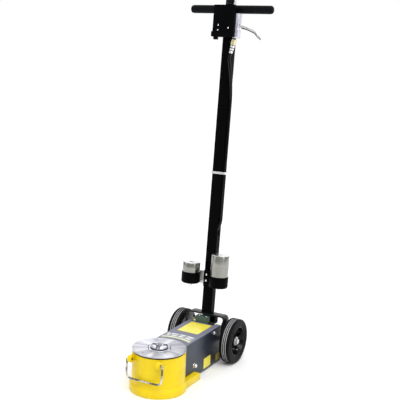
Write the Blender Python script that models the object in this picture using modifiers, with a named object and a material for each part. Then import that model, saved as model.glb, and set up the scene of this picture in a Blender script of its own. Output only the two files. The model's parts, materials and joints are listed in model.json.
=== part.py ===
"""Two-stage air-hydraulic jack on a two-wheeled carriage with a long T-handle.

Frame: the origin is on the ground under the lift axis, +Z is up, +Y runs back to the
wheels and +X is the carriage's right-hand side as seen from the front. Metres.
"""
import math

import bmesh
import bpy
from mathutils import Matrix, Vector

# ---------------------------------------------------------------- driving dimensions
FIT = 0.0003            # gap between pieces that touch
STEPS = 40              # sides of a large turned piece
SMALL_STEPS = 16        # sides of a small turned piece

HEAD_R = 0.100          # head plate
HEAD_TOP = 0.156
RIM_T = 0.0045          # visible edge of the head plate
GROOVE_T = 0.0040       # dark groove under that edge
TUBE_R = 0.0985         # cylinder
TUBE_BORE = 0.0830
HEX_AF = 0.0776         # hexagonal ram, across flats
HEX_GAP = 0.0022         # clearance between that hexagon and its window
HEX_TURN = 34.0          # turns the hexagon so that two corners point left and right of the front
SADDLE_TURN = 20.0       # turns the saddle slots
NECK_R = 0.0335         # mouth of the hexagonal ram
BORE_R = 0.0365         # its bore below the mouth
ROD_R = 0.0325          # second-stage ram
STROKE = 0.075          # stroke of each stage

BASE_R = 0.1056
BASE_T = 0.028
BASE_HALF = 0.0943
BASE_REAR = 0.1514

COVER_HALF = 0.0705
COVER_TOP = 0.1508
COVER_REAR = 0.361
COVER_LOW = 0.006
SHEET = 0.002

AXLE = Vector((0.0, 0.3831, 0.0889))
AXLE_R = 0.010
WHEEL_R = AXLE.z
WHEEL_OUT = 0.140
TYRE_W = 0.0444
RIM_SEAT = 0.0612

LEAN = math.radians(4.2)     # the handle leans back by this much
POLE_Y = -0.011              # pole axis in front of the axle, in the handle's frame
POLE_X, POLE_D = 0.043, 0.034
POLE_WALL = 0.0025
YOKE_TOP = 0.0955
YOKE_OUT = 0.0835
YOKE_T = 0.006
POLE_TOP = 1.2872
GRIP_Z = 1.300
GRIP_R = 0.016
GRIP_HALF = 0.1755
BAR_R = 0.0125

HOSE_R = 0.006
HOSE_X = POLE_X / 2 + HOSE_R + 0.0006
HOSE_Y = -0.015
GLAND_Z = 0.445                             # where the hose enters the pole
GLAND_W, GLAND_H = 0.0180, 0.0820
GLAND_AT = (POLE_X / 2 - POLE_WALL / 2, HOSE_Y, GLAND_Z + 0.005)

FITTING_TOP = Vector((0.0350, -0.0370, 1.1868))     # axis of the nut and the ferrule
FITTING_END = Vector((0.0222, -0.0378, 1.1290))

CUP_X, CUP_Y = 0.0624, -0.0637
CUP_TOP = 0.2635
CUP_H = 0.0455
CUP_R = 0.0372
CUP_WALL = 0.0018
ADAPTER_R = 0.0348
SHORT_H, TALL_H = 0.0815, 0.1275

BOX_HALF = 0.045             # control box on the handle head
BOX_X = -0.0035
BOX_FRONT, BOX_BACK = -0.0685, -0.0505
BOX_LOW, BOX_TOP = 1.189, 1.3105

LUG_X, LUG_Y, LUG_Z = 0.059, -0.1005, 0.1325
LUG_W, LUG_R = 0.014, 0.013
BAIL_R = 0.0035
BAIL_HALF, BAIL_DROP = 0.0735, 0.0710

# ---------------------------------------------------------------- scene and materials
for item in list(bpy.data.objects):
    bpy.data.objects.remove(item, do_unlink=True)


def collection(name):
    group = bpy.data.collections.new(name)
    bpy.context.scene.collection.children.link(group)
    return group


PARTS = collection("air_hydraulic_jack")
TOOLS = collection("cutters")


def material(name, colour, roughness, metallic=0.0):
    made = bpy.data.materials.new(name)
    made.use_nodes = True
    shader = made.node_tree.nodes["Principled BSDF"]
    shader.inputs["Base Color"].default_value = (*colour, 1.0)
    shader.inputs["Roughness"].default_value = roughness
    shader.inputs["Metallic"].default_value = metallic
    made.diffuse_color = (*colour, 1.0)
    return made


YELLOW = material("yellow_paint", (0.80, 0.62, 0.01), 0.35)
SLATE = material("slate_paint", (0.055, 0.068, 0.090), 0.40)
BLACK = material("black_paint", (0.012, 0.012, 0.013), 0.45)
GREEN = material("grey_green_paint", (0.07, 0.13, 0.11), 0.45)
ZINC = material("zinc_plate", (0.62, 0.63, 0.66), 0.30, 1.0)
CHROME = material("chrome", (0.75, 0.75, 0.77), 0.12, 1.0)
STEEL = material("machined_steel", (0.50, 0.50, 0.52), 0.28, 1.0)
ALUMINIUM = material("aluminium", (0.70, 0.71, 0.74), 0.35, 1.0)
BRASS = material("brass", (0.72, 0.58, 0.28), 0.30, 1.0)
TYRE = material("tyre_rubber", (0.035, 0.035, 0.037), 0.75)
HUB = material("hub_plastic", (0.012, 0.012, 0.012), 0.40)
HOSE = material("hose_rubber", (0.010, 0.010, 0.011), 0.50)
GRIP = material("grip_rubber", (0.020, 0.021, 0.023), 0.60)
SEAL = material("seal_rubber", (0.02, 0.02, 0.02), 0.60)
BRONZE = material("sintered_bronze", (0.45, 0.30, 0.15), 0.60, 1.0)

HANDLE = bpy.data.objects.new("handle_pivot", None)
HANDLE.location = AXLE
HANDLE.rotation_euler = (-LEAN, 0.0, 0.0)
PARTS.objects.link(HANDLE)


# ---------------------------------------------------------------- modelling helpers
def place(name, mesh, paint, at=(0, 0, 0), turn=(0, 0, 0), parent=None, group=PARTS):
    """Link a mesh as an object; a tool goes in TOOLS and stays out of the renders."""
    made = bpy.data.objects.new(name, mesh)
    made.location = at
    made.rotation_euler = turn
    made.parent = parent
    group.objects.link(made)
    if paint is not None:
        mesh.materials.append(paint)
    if group is TOOLS:
        made.hide_render = True
        made.display_type = 'WIRE'
    mesh.shade_smooth()
    mesh.set_sharp_from_angle(angle=math.radians(35))
    return made


def mesh_from(name, build):
    """Make a mesh from a function that fills a bmesh."""
    work = bmesh.new()
    build(work)
    bmesh.ops.recalc_face_normals(work, faces=work.faces)
    mesh = bpy.data.meshes.new(name)
    work.to_mesh(mesh)
    work.free()
    return mesh


def baked(made):
    """Replace an object's data with its evaluated, welded mesh."""
    graph = bpy.context.evaluated_depsgraph_get()
    mesh = bpy.data.meshes.new_from_object(made.evaluated_get(graph))
    work = bmesh.new()
    work.from_mesh(mesh)
    bmesh.ops.remove_doubles(work, verts=work.verts, dist=0.000005)
    bmesh.ops.recalc_face_normals(work, faces=work.faces)
    work.to_mesh(mesh)
    work.free()
    bpy.data.objects.remove(made, do_unlink=True)
    return mesh


def block(name, low, high, paint, bevel=0.0, parent=None, group=PARTS, segments=2):
    """A box between two corners, with its origin at its centre."""
    low, high = Vector(low), Vector(high)

    def build(work):
        bmesh.ops.create_cube(work, size=1.0, matrix=Matrix.Diagonal((*(high - low), 1.0)))
        if bevel:
            bmesh.ops.bevel(work, geom=work.edges[:], offset=bevel, segments=segments,
                            affect='EDGES', profile=0.5)
    return place(name, mesh_from(name, build), paint, (low + high) / 2, parent=parent, group=group)


def turned(name, profile, paint, at=(0, 0, 0), turn=(0, 0, 0), parent=None, group=PARTS,
           steps=STEPS, ring=False):
    """Turn a (radius, height) profile, given down the outer side, about the local Z axis."""
    count = len(profile)
    edges = [(i, i + 1) for i in range(count - 1)]
    if ring:
        edges.append((count - 1, 0))
    mesh = bpy.data.meshes.new(name)
    mesh.from_pydata([(radius, 0.0, height) for radius, height in profile], edges, [])
    made = bpy.data.objects.new(name, mesh)
    TOOLS.objects.link(made)
    screw = made.modifiers.new("Screw", 'SCREW')
    screw.steps = screw.render_steps = steps
    screw.use_merge_vertices = True
    screw.merge_threshold = 0.00001
    return place(name, baked(made), paint, at, turn, parent, group)


def rod(name, radius, low, high, paint, at=(0, 0, 0), turn=(0, 0, 0), parent=None,
        group=PARTS, steps=SMALL_STEPS, chamfer=0.0):
    """A solid round bar along the local Z axis from low to high."""
    c = chamfer
    profile = [(0.0, high), (radius - c, high), (radius, high - c), (radius, low + c),
               (radius - c, low), (0.0, low)]
    if not c:
        profile = [(0.0, high), (radius, high), (radius, low), (0.0, low)]
    return turned(name, profile, paint, at, turn, parent, group, steps)


def sheet(name, outline, thickness, paint, at=(0, 0, 0), turn=(0, 0, 0), parent=None,
          group=PARTS, bevel=0.0, holes=()):
    """A flat outline in the local XY plane, filled and given its thickness both ways."""
    curve = bpy.data.curves.new(name, 'CURVE')
    curve.dimensions = '2D'
    curve.fill_mode = 'BOTH'
    curve.extrude = thickness / 2
    for loop in (outline, *holes):
        spline = curve.splines.new('POLY')
        spline.points.add(len(loop) - 1)
        for point, (x, y) in zip(spline.points, loop):
            point.co = (x, y, 0.0, 1.0)
        spline.use_cyclic_u = True
    made = bpy.data.objects.new(name, curve)
    TOOLS.objects.link(made)
    mesh = baked(made)
    if bevel:
        work = bmesh.new()
        work.from_mesh(mesh)
        rims = [edge for edge in work.edges
                if abs(edge.verts[0].co.z - edge.verts[1].co.z) < 1e-7 and len(edge.link_faces) == 2
                and edge.calc_face_angle() > math.radians(60)]
        bmesh.ops.bevel(work, geom=rims, offset=bevel, segments=2, affect='EDGES', profile=0.5,
                        clamp_overlap=True)
        work.to_mesh(mesh)
        work.free()
    return place(name, mesh, paint, at, turn, parent, group)


def tube(name, route, radius, paint, parent=None, resolution=3, group=PARTS):
    """A round bar bent along a route of points."""
    curve = bpy.data.curves.new(name, 'CURVE')
    curve.dimensions = '3D'
    curve.bevel_depth = radius
    curve.bevel_resolution = resolution
    curve.use_fill_caps = True
    spline = curve.splines.new('POLY')
    spline.points.add(len(route) - 1)
    for point, place_at in zip(spline.points, route):
        point.co = (*place_at, 1.0)
    made = bpy.data.objects.new(name, curve)
    TOOLS.objects.link(made)
    return place(name, baked(made), paint, parent=parent, group=group)


def boolean(made, tool, operation='DIFFERENCE'):
    change = made.modifiers.new(operation.title(), 'BOOLEAN')
    change.operation = operation
    change.object = tool


def arc(centre, radius, start, stop, count):
    """Points on an arc in a plane, angles in degrees."""
    points = []
    for i in range(count + 1):
        angle = math.radians(start + (stop - start) * i / count)
        points.append((centre[0] + radius * math.cos(angle), centre[1] + radius * math.sin(angle)))
    return points


def stadium(width, height):
    """An upright slot outline with round ends."""
    reach = (height - width) / 2
    return arc((0, reach), width / 2, 0, 180, 8) + arc((0, -reach), width / 2, 180, 360, 8)


def rounded(corners, radius, count=4):
    """Replace each corner of a route by a curve that is tangent to both its sides."""
    route = [Vector(corners[0])]
    for before, corner, after in zip(corners, corners[1:], corners[2:]):
        before, corner, after = Vector(before), Vector(corner), Vector(after)
        reach = min(radius, (before - corner).length * 0.48, (after - corner).length * 0.48)
        start = corner + (before - corner).normalized() * reach
        stop = corner + (after - corner).normalized() * reach
        for i in range(count + 1):
            t = i / count
            route.append(start * (1 - t) ** 2 + corner * 2 * t * (1 - t) + stop * t ** 2)
    route.append(Vector(corners[-1]))
    return route


ALONG_X = (0.0, math.pi / 2, 0.0)         # local Z to +X
UPRIGHT = (math.pi / 2, 0.0, math.pi / 2) # local X to +Y, local Y to +Z, local Z to +X
ALONG_MINUS_Y = (math.pi / 2, 0.0, 0.0)   # local Z to -Y


# ---------------------------------------------------------------- base and cylinder
def make_base():
    half_angle = math.degrees(math.acos(BASE_HALF / BASE_R))
    outline = arc((0, 0), BASE_R, -180 - half_angle, half_angle, 36)
    outline += [(BASE_HALF, BASE_REAR), (-BASE_HALF, BASE_REAR)]
    sheet("base_plate", outline, BASE_T, YELLOW, (0, 0, BASE_T / 2), bevel=0.005)


def make_cylinder():
    low = BASE_T + FIT
    high = HEAD_TOP - RIM_T - GROOVE_T - 0.002
    turned("cylinder_tube", [(TUBE_R - 0.001, high), (TUBE_R, high - 0.001), (TUBE_R, low),
                             (TUBE_BORE, low), (TUBE_BORE, high)], YELLOW, steps=STEPS, ring=True)
    spigot = TUBE_BORE - FIT
    head = turned("head_plate", [
        (0, HEAD_TOP), (HEAD_R - 0.002, HEAD_TOP), (HEAD_R, HEAD_TOP - 0.002),
        (HEAD_R, HEAD_TOP - RIM_T), (TUBE_R - 0.003, HEAD_TOP - RIM_T - 0.0005),
        (TUBE_R - 0.003, high + FIT), (spigot, high + FIT), (spigot, 0.1365), (0, 0.1365)],
        STEEL, steps=STEPS)
    hexagon = mesh_from("head_hexagon", lambda work: bmesh.ops.create_cone(
        work, cap_ends=True, segments=6, radius1=(HEX_AF / 2 + HEX_GAP) / math.cos(math.pi / 6),
        radius2=(HEX_AF / 2 + HEX_GAP) / math.cos(math.pi / 6), depth=0.06))
    boolean(head, place("head_hexagon", hexagon, None, (0, 0, HEAD_TOP - 0.01),
                        (0, 0, math.radians(HEX_TURN)), group=TOOLS))
    boolean(head, rod("lock_screw_hole", 0.0033, HEAD_TOP - 0.006, HEAD_TOP + 0.01, None,
                      (-0.022, -0.080, 0), group=TOOLS, steps=16))


def hex_tool(name, across, low, high, group=TOOLS):
    radius = across / 2 / math.cos(math.pi / 6)
    mesh = mesh_from(name, lambda work: bmesh.ops.create_cone(
        work, cap_ends=True, segments=6, radius1=radius, radius2=radius, depth=high - low))
    return place(name, mesh, None, (0, 0, (low + high) / 2), (0, 0, math.radians(HEX_TURN)),
                 group=group)


def make_rams():
    piston_low, piston_top = BASE_T + 0.0062, BASE_T + 0.0222
    floor = BASE_T + 0.0125
    piston_r = TUBE_BORE - 0.0010
    groove_r = piston_r - 0.0036
    ram = turned("outer_ram", [
        (0, piston_top), (piston_r, piston_top), (piston_r, piston_low + 0.0110),
        (groove_r, piston_low + 0.0110), (groove_r, piston_low + 0.0050),
        (piston_r, piston_low + 0.0050), (piston_r, piston_low), (0, piston_low)],
        STEEL, steps=STEPS)
    column = hex_tool("ram_column", HEX_AF, piston_top - 0.004, HEAD_TOP - 0.0006)
    work = bmesh.new()
    work.from_mesh(column.data)
    top = max(vert.co.z for vert in work.verts)
    rim = [edge for edge in work.edges if all(vert.co.z > top - 1e-6 for vert in edge.verts)]
    bmesh.ops.bevel(work, geom=rim, offset=0.0018, segments=1, affect='EDGES')
    work.to_mesh(column.data)
    work.free()
    boolean(ram, column, 'UNION')
    boolean(ram, turned("ram_bore", [
        (0, HEAD_TOP + 0.01), (NECK_R, HEAD_TOP + 0.01), (NECK_R, HEAD_TOP - 0.0175),
        (BORE_R, HEAD_TOP - 0.0195), (BORE_R, floor), (0, floor)], None, group=TOOLS, steps=STEPS))
    turned("outer_ram_seal", [
        (piston_r + 0.0006, piston_low + 0.0105), (piston_r + 0.0006, piston_low + 0.0055),
        (groove_r + FIT, piston_low + 0.0055), (groove_r + FIT, piston_low + 0.0105)],
        SEAL, ring=True, steps=STEPS)

    low = floor + FIT
    turned("inner_ram", [
        (0.0152, HEAD_TOP - 0.006), (ROD_R - 0.001, HEAD_TOP - 0.006), (ROD_R, HEAD_TOP - 0.007),
        (ROD_R, low + 0.0120), (BORE_R - FIT, low + 0.0120), (BORE_R - FIT, low + 0.0090),
        (ROD_R, low + 0.0090), (ROD_R, low + 0.0040), (BORE_R - FIT, low + 0.0040),
        (BORE_R - FIT, low), (0, low), (0, HEAD_TOP - 0.036), (0.0152, HEAD_TOP - 0.036)],
        CHROME, ring=True, steps=STEPS)
    turned("inner_ram_seal", [
        (BORE_R - 0.0001, low + 0.0087), (BORE_R - 0.0001, low + 0.0043),
        (ROD_R + FIT, low + 0.0043), (ROD_R + FIT, low + 0.0087)], SEAL, ring=True, steps=STEPS)
    make_saddle()


def make_saddle():
    seat = HEAD_TOP - 0.006 + FIT
    crown = HEAD_TOP + 0.0115
    saddle = turned("saddle", [
        (0, crown), (0.0285, crown), (0.0308, crown - 0.003), (0.0308, seat), (0.0148, seat),
        (0.0148, seat - 0.026), (0, seat - 0.026)], CHROME, steps=STEPS)
    for turn in (0, 90):
        slot = block("saddle_slot", (-0.04, -0.0085, -0.0085), (0.04, 0.0085, 0.02), None,
                     group=TOOLS)
        slot.location = (0, 0, crown)
        slot.rotation_euler = (0, 0, math.radians(turn + SADDLE_TURN))
        boolean(saddle, slot)
    boolean(saddle, turned("saddle_dish", [
        (0, crown + 0.01), (0.0165, crown + 0.01), (0.0135, crown - 0.0085),
        (0, crown - 0.0085)], None, group=TOOLS, steps=32))


# ---------------------------------------------------------------- carry bail
def make_bail():
    outline = [(0.030, -0.0105), (0.030, 0.0105)] + arc((0, 0), LUG_R, 54, 306, 14)
    for side, name in ((-1, "bail_lug_left"), (1, "bail_lug_right")):
        lug = sheet(name, outline, LUG_W, YELLOW, (side * LUG_X, LUG_Y, LUG_Z), UPRIGHT,
                    bevel=0.0015)
        boolean(lug, rod(name + "_eye", BAIL_R + 0.0005, -0.02, 0.02, None,
                         (side * LUG_X, LUG_Y, LUG_Z), ALONG_X, group=TOOLS))
        boolean(lug, rod(name + "_back", TUBE_R + FIT, 0.05, 0.2, None, group=TOOLS, steps=STEPS))
    half, drop = BAIL_HALF, BAIL_DROP
    pins = LUG_X - LUG_W / 2 - 0.0025
    corners = [(-pins, 0, 0), (-half, 0, 0), (-half, -0.0045, -drop), (half, -0.0045, -drop),
               (half, 0, 0), (pins, 0, 0)]
    route = [Vector(corners[0])]
    for first, second, third, radius in ((0, 1, 2, 0.0065), (1, 2, 3, 0.022), (2, 3, 4, 0.022),
                                         (3, 4, 5, 0.0065)):
        bend = rounded([corners[first], corners[second], corners[third]], radius)
        route += bend[1:-1]
    route.append(Vector(corners[-1]))
    bail = tube("carry_bail", route, BAIL_R, CHROME)
    bail.location = (0, LUG_Y, LUG_Z)


# ---------------------------------------------------------------- carriage under the cover
def make_cover():
    inner = COVER_HALF - SHEET
    cover = block("cover", (-COVER_HALF, 0.02, COVER_LOW), (COVER_HALF, COVER_REAR, COVER_TOP),
                  SLATE)
    work = bmesh.new()
    work.from_mesh(cover.data)
    top = max(vert.co.z for vert in work.verts)
    long_edges = [edge for edge in work.edges if all(vert.co.z > top - 1e-6 for vert in edge.verts)
                  and abs(edge.verts[0].co.x - edge.verts[1].co.x) < 1e-6]
    bmesh.ops.bevel(work, geom=long_edges, offset=0.004, segments=3, affect='EDGES', profile=0.5)
    work.to_mesh(cover.data)
    work.free()
    boolean(cover, block("cover_inside", (-inner, 0.0, -0.02), (inner, COVER_REAR + 0.05,
                         COVER_TOP - SHEET), None, 0.002, group=TOOLS))
    boolean(cover, rod("cover_front", HEAD_R + 0.0010, -0.02, 0.2, None, group=TOOLS, steps=STEPS))
    boolean(cover, block("cover_step", (-0.1, -0.1, -0.02), (0.1, BASE_REAR + 0.0015,
                         BASE_T + FIT), None, group=TOOLS))
    boolean(cover, block("cover_notch", (-0.059, COVER_REAR - 0.020, 0.12),
                         (0.049, COVER_REAR + 0.02, 0.2), None, group=TOOLS))
    for side, word in ((-1, "left"), (1, "right")):
        for place_name, y, z in (("front", 0.1435, 0.0537), ("rear", 0.3040, 0.1345)):
            at = (side * COVER_HALF, y, z)
            turn = (0, side * math.pi / 2, 0)
            name = "cover_screw_" + word + "_" + place_name
            radius, tall = (0.0080, 0.0125) if place_name == "front" else (0.0066, 0.0062)
            turned(name, [(0, tall), (radius * 0.5, tall - 0.0008), (radius * 0.85, tall * 0.72),
                          (radius, tall * 0.5), (radius, 0.0012), (radius + 0.0015, 0.0012),
                          (radius + 0.0015, FIT), (0.0026, FIT), (0.0026, -0.006), (0, -0.006)],
                   ZINC, at, turn, steps=SMALL_STEPS)
            boolean(cover, rod(name + "_hole", 0.0030, -0.01, 0.01, None, at, turn, group=TOOLS,
                               steps=16))


def make_chassis():
    """Floor pan between the base and the axle, with two ears that carry the axle."""
    pan = block("chassis_pan", (-0.066, BASE_REAR + FIT, 0.0075), (0.066, 0.402, 0.0125), BLACK)
    ear_outline = [(0.345, 0.010), (0.403, 0.010)] + arc((AXLE.y, AXLE.z), 0.019, 0, 180, 10)
    for side in (-1, 1):
        ear = sheet("chassis_ear", ear_outline, 0.005, None, (side * 0.0632, 0, 0), UPRIGHT,
                    group=TOOLS)
        boolean(pan, ear, 'UNION')
    boolean(pan, rod("chassis_bore", AXLE_R + FIT, -0.1, 0.1, None, AXLE, ALONG_X, group=TOOLS,
                     steps=24))


def make_pump():
    """Oil pump block, air motor, rear manifold and their fittings, under the cover."""
    block("pump_block", (-0.050, 0.112, BASE_T + 0.0008), (0.050, BASE_REAR - 0.004, 0.118),
          GREEN, 0.002)
    front = BASE_REAR - 0.004 + FIT
    profile = [(0, 0.300), (0.036, 0.300), (0.041, 0.295)]
    for y in (0.270, 0.235, 0.200):
        profile += [(0.041, y + 0.004), (0.038, y + 0.002), (0.038, y - 0.002), (0.041, y - 0.004)]
    profile += [(0.041, 0.160), (0.036, 0.155), (0.012, 0.155), (0.012, front), (0, front)]
    turned("air_motor", profile, ALUMINIUM, (0, 0, 0.072), (-math.pi / 2, 0, 0), steps=20)
    manifold = block("valve_manifold", (-0.036, 0.3425, 0.1030), (0.018, 0.368, 0.1700), GREEN,
                     0.0015)
    block("oil_reservoir", (-0.060, 0.160, 0.118), (0.060, 0.330, 0.1455), STEEL, 0.003)
    boolean(manifold, rod("manifold_plug", 0.0055, -0.004, 0.0045, None, (-0.004, 0.355, 0.1700),
                          group=TOOLS, steps=6), 'UNION')
    tube("brass_elbow", rounded([(-0.0363, 0.355, 0.150), (-0.050, 0.355, 0.150),
                                         (-0.050, 0.355, 0.160)], 0.009), 0.0055, BRASS)
    turned("exhaust_silencer", [
        (0, 0.026), (0.0045, 0.026), (0.0062, 0.022), (0.0062, 0.006), (0.0045, 0.006),
        (0.0045, FIT), (0, FIT)], BRONZE, (0.018, 0.355, 0.150), ALONG_X, steps=SMALL_STEPS)


def make_wheels():
    axle = rod("axle", AXLE_R, -0.139, 0.139, ZINC, AXLE, ALONG_X, steps=24, chamfer=0.001)
    for side, word in ((-1, "left"), (1, "right")):
        turn = (0, side * math.pi / 2, 0)
        boolean(axle, rod("pin_hole_" + word, 0.0023, -0.02, 0.02, None,
                          (side * 0.1345, AXLE.y, AXLE.z), group=TOOLS, steps=12))
        make_wheel(word, turn)
        turned("axle_washer_" + word, [
            (0.0165, 0.1310), (0.0165, 0.1286), (0.0104, 0.1286), (0.0104, 0.1310)], ZINC, AXLE,
            turn, steps=16, ring=True)
        rod("split_pin_" + word, 0.0019, -0.0145, 0.0145, ZINC, (side * 0.1345, AXLE.y, AXLE.z),
            steps=12)


def make_wheel(word, turn):
    inboard = WHEEL_OUT - TYRE_W
    shoulder = 0.007
    profile = [(RIM_SEAT + FIT, WHEEL_OUT - 0.002), (RIM_SEAT + 0.004, WHEEL_OUT)]
    profile += [(WHEEL_R - shoulder + shoulder * math.sin(math.radians(a)),
                 WHEEL_OUT - shoulder + shoulder * math.cos(math.radians(a))) for a in (0, 30, 60)]
    ribs = 4
    tread_high, tread_low = WHEEL_OUT - shoulder, inboard + shoulder
    pitch = (tread_high - tread_low) / ribs
    for i in range(ribs):
        top = tread_high - i * pitch
        if i:
            profile += [(WHEEL_R - 0.0025, top + 0.0010), (WHEEL_R - 0.0025, top - 0.0010)]
        profile += [(WHEEL_R, top - 0.0014 if i else top),
                    (WHEEL_R, top - pitch + (0.0014 if i < ribs - 1 else 0.0))]
    profile += [(WHEEL_R - shoulder + shoulder * math.cos(math.radians(a)),
                 inboard + shoulder - shoulder * math.sin(math.radians(a))) for a in (30, 60, 90)]
    profile += [(RIM_SEAT + 0.004, inboard), (RIM_SEAT + FIT, inboard + 0.002)]
    turned("tyre_" + word, profile, TYRE, AXLE, turn, ring=True)
    boss_in = YOKE_OUT + 0.0010
    turned("hub_" + word, [
        (0.0200, 0.1280), (0.0220, 0.1255), (0.0230, 0.1160), (0.0540, 0.1160), (0.0565, 0.1380),
        (0.0590, 0.1388), (RIM_SEAT, 0.1370), (RIM_SEAT, inboard + 0.003), (0.0560, inboard + 0.003),
        (0.0540, 0.1090), (0.0230, 0.1090), (0.0200, boss_in), (0.0104, boss_in),
        (0.0104, 0.1280)], HUB, AXLE, turn, ring=True)


# ---------------------------------------------------------------- handle, in its own frame
def make_yoke():
    front, back = -0.042, 0.015
    low = -0.018
    inner = YOKE_OUT - YOKE_T
    bend = 0.016
    outline = [(-YOKE_OUT, low)]
    outline += arc((-YOKE_OUT + bend, YOKE_TOP - bend), bend, 180, 90, 5)
    outline += arc((YOKE_OUT - bend, YOKE_TOP - bend), bend, 90, 0, 5)
    outline += [(YOKE_OUT, low), (inner, low)]
    outline += arc((YOKE_OUT - bend, YOKE_TOP - bend), bend - YOKE_T, 0, 90, 5)
    outline += arc((-YOKE_OUT + bend, YOKE_TOP - bend), bend - YOKE_T, 90, 180, 5)
    outline += [(-inner, low)]
    yoke = sheet("yoke", outline, back - front, GREEN, (0, (front + back) / 2, 0),
                 (math.pi / 2, 0, 0), parent=HANDLE, bevel=0.0008)
    relief = [(-0.030, 0.110), (-0.030, 0.079), (front, 0.067), (front - 0.01, 0.067),
              (front - 0.01, 0.110)]
    boolean(yoke, sheet("yoke_relief", relief, 0.2, None, (0, 0, 0), UPRIGHT, HANDLE, TOOLS))
    boolean(yoke, rod("yoke_bore", AXLE_R + FIT, -0.1, 0.1, None, (0, 0, 0), ALONG_X,
                      parent=HANDLE, group=TOOLS, steps=24))


def make_pole():
    low, front, back = YOKE_TOP + FIT, POLE_Y - POLE_D / 2, POLE_Y + POLE_D / 2
    pole = block("pole", (-POLE_X / 2, front, low), (POLE_X / 2, back, POLE_TOP), BLACK,
                 parent=HANDLE)
    work = bmesh.new()
    work.from_mesh(pole.data)
    uprights = [edge for edge in work.edges if abs(edge.verts[0].co.z - edge.verts[1].co.z) > 0.5]
    bmesh.ops.bevel(work, geom=uprights, offset=0.003, segments=2, affect='EDGES', profile=0.5)
    work.to_mesh(pole.data)
    work.free()
    wall = POLE_WALL
    boolean(pole, block("pole_inside", (-POLE_X / 2 + wall, front + wall, low - 0.01),
                        (POLE_X / 2 - wall, back - wall, POLE_TOP - 0.02), None, parent=HANDLE,
                        group=TOOLS))
    boolean(pole, sheet("gland_hole", stadium(GLAND_W, GLAND_H), 0.008, None, GLAND_AT, UPRIGHT,
                        HANDLE, TOOLS))
    block("pole_foot", (-0.026, -0.006, 0.050), (0.030, 0.028, YOKE_TOP - YOKE_T - FIT),
                  BLACK, 0.002, parent=HANDLE)


def make_hose():
    side = HOSE_X
    down = (FITTING_END - FITTING_TOP).normalized()
    corners = [FITTING_END + down * FIT, FITTING_END + down * 0.020, (0.0235, -0.0378, 1.0850),
               (0.0285, -0.0335, 1.0450), (side, -0.0215, 1.0050), (side, HOSE_Y, 0.9600),
               (side, HOSE_Y, 0.7000), (side, HOSE_Y, GLAND_Z + 0.020),
               (0.0100, HOSE_Y, GLAND_Z - 0.015), (0.0020, HOSE_Y, GLAND_Z - 0.050),
               (0.0020, HOSE_Y, 0.3000), (0.0020, HOSE_Y, YOKE_TOP + 2 * FIT)]
    tube("air_hose", rounded(corners, 0.030, 3), HOSE_R, HOSE, parent=HANDLE, resolution=2)
    sheet("hose_gland", stadium(GLAND_W - 2 * FIT, GLAND_H - 2 * FIT), POLE_WALL - 2 * FIT, SEAL,
          GLAND_AT, UPRIGHT, HANDLE, holes=[stadium(GLAND_W - 0.0034, GLAND_H - 0.0034)])
    band_z = 0.6650
    left, right = -POLE_X / 2 - FIT, HOSE_X + HOSE_R + FIT
    front, back = POLE_Y - POLE_D / 2 - FIT, POLE_Y + POLE_D / 2 + FIT
    strap = 0.0012
    corner = HOSE_R + FIT

    def loop(grow):
        points = [(left - grow, back + grow), (left - grow, front - grow)]
        points += arc((right - corner, front + corner), corner + grow, -90, 0, 4)
        points += arc((right - corner, back - corner), corner + grow, 0, 90, 4)
        return points
    band = sheet("hose_band", loop(strap), 0.009, ZINC, (0, 0, band_z), parent=HANDLE)
    boolean(band, sheet("band_inside", loop(0.0), 0.03, None, (0, 0, band_z), parent=HANDLE,
                        group=TOOLS))
    boolean(band, rod("band_screw", 0.0035, -0.008, 0.008, None,
                      (left - strap - 0.0030, POLE_Y - 0.006, band_z), (math.pi / 2, 0, 0),
                      HANDLE, TOOLS, steps=12), 'UNION')


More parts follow.
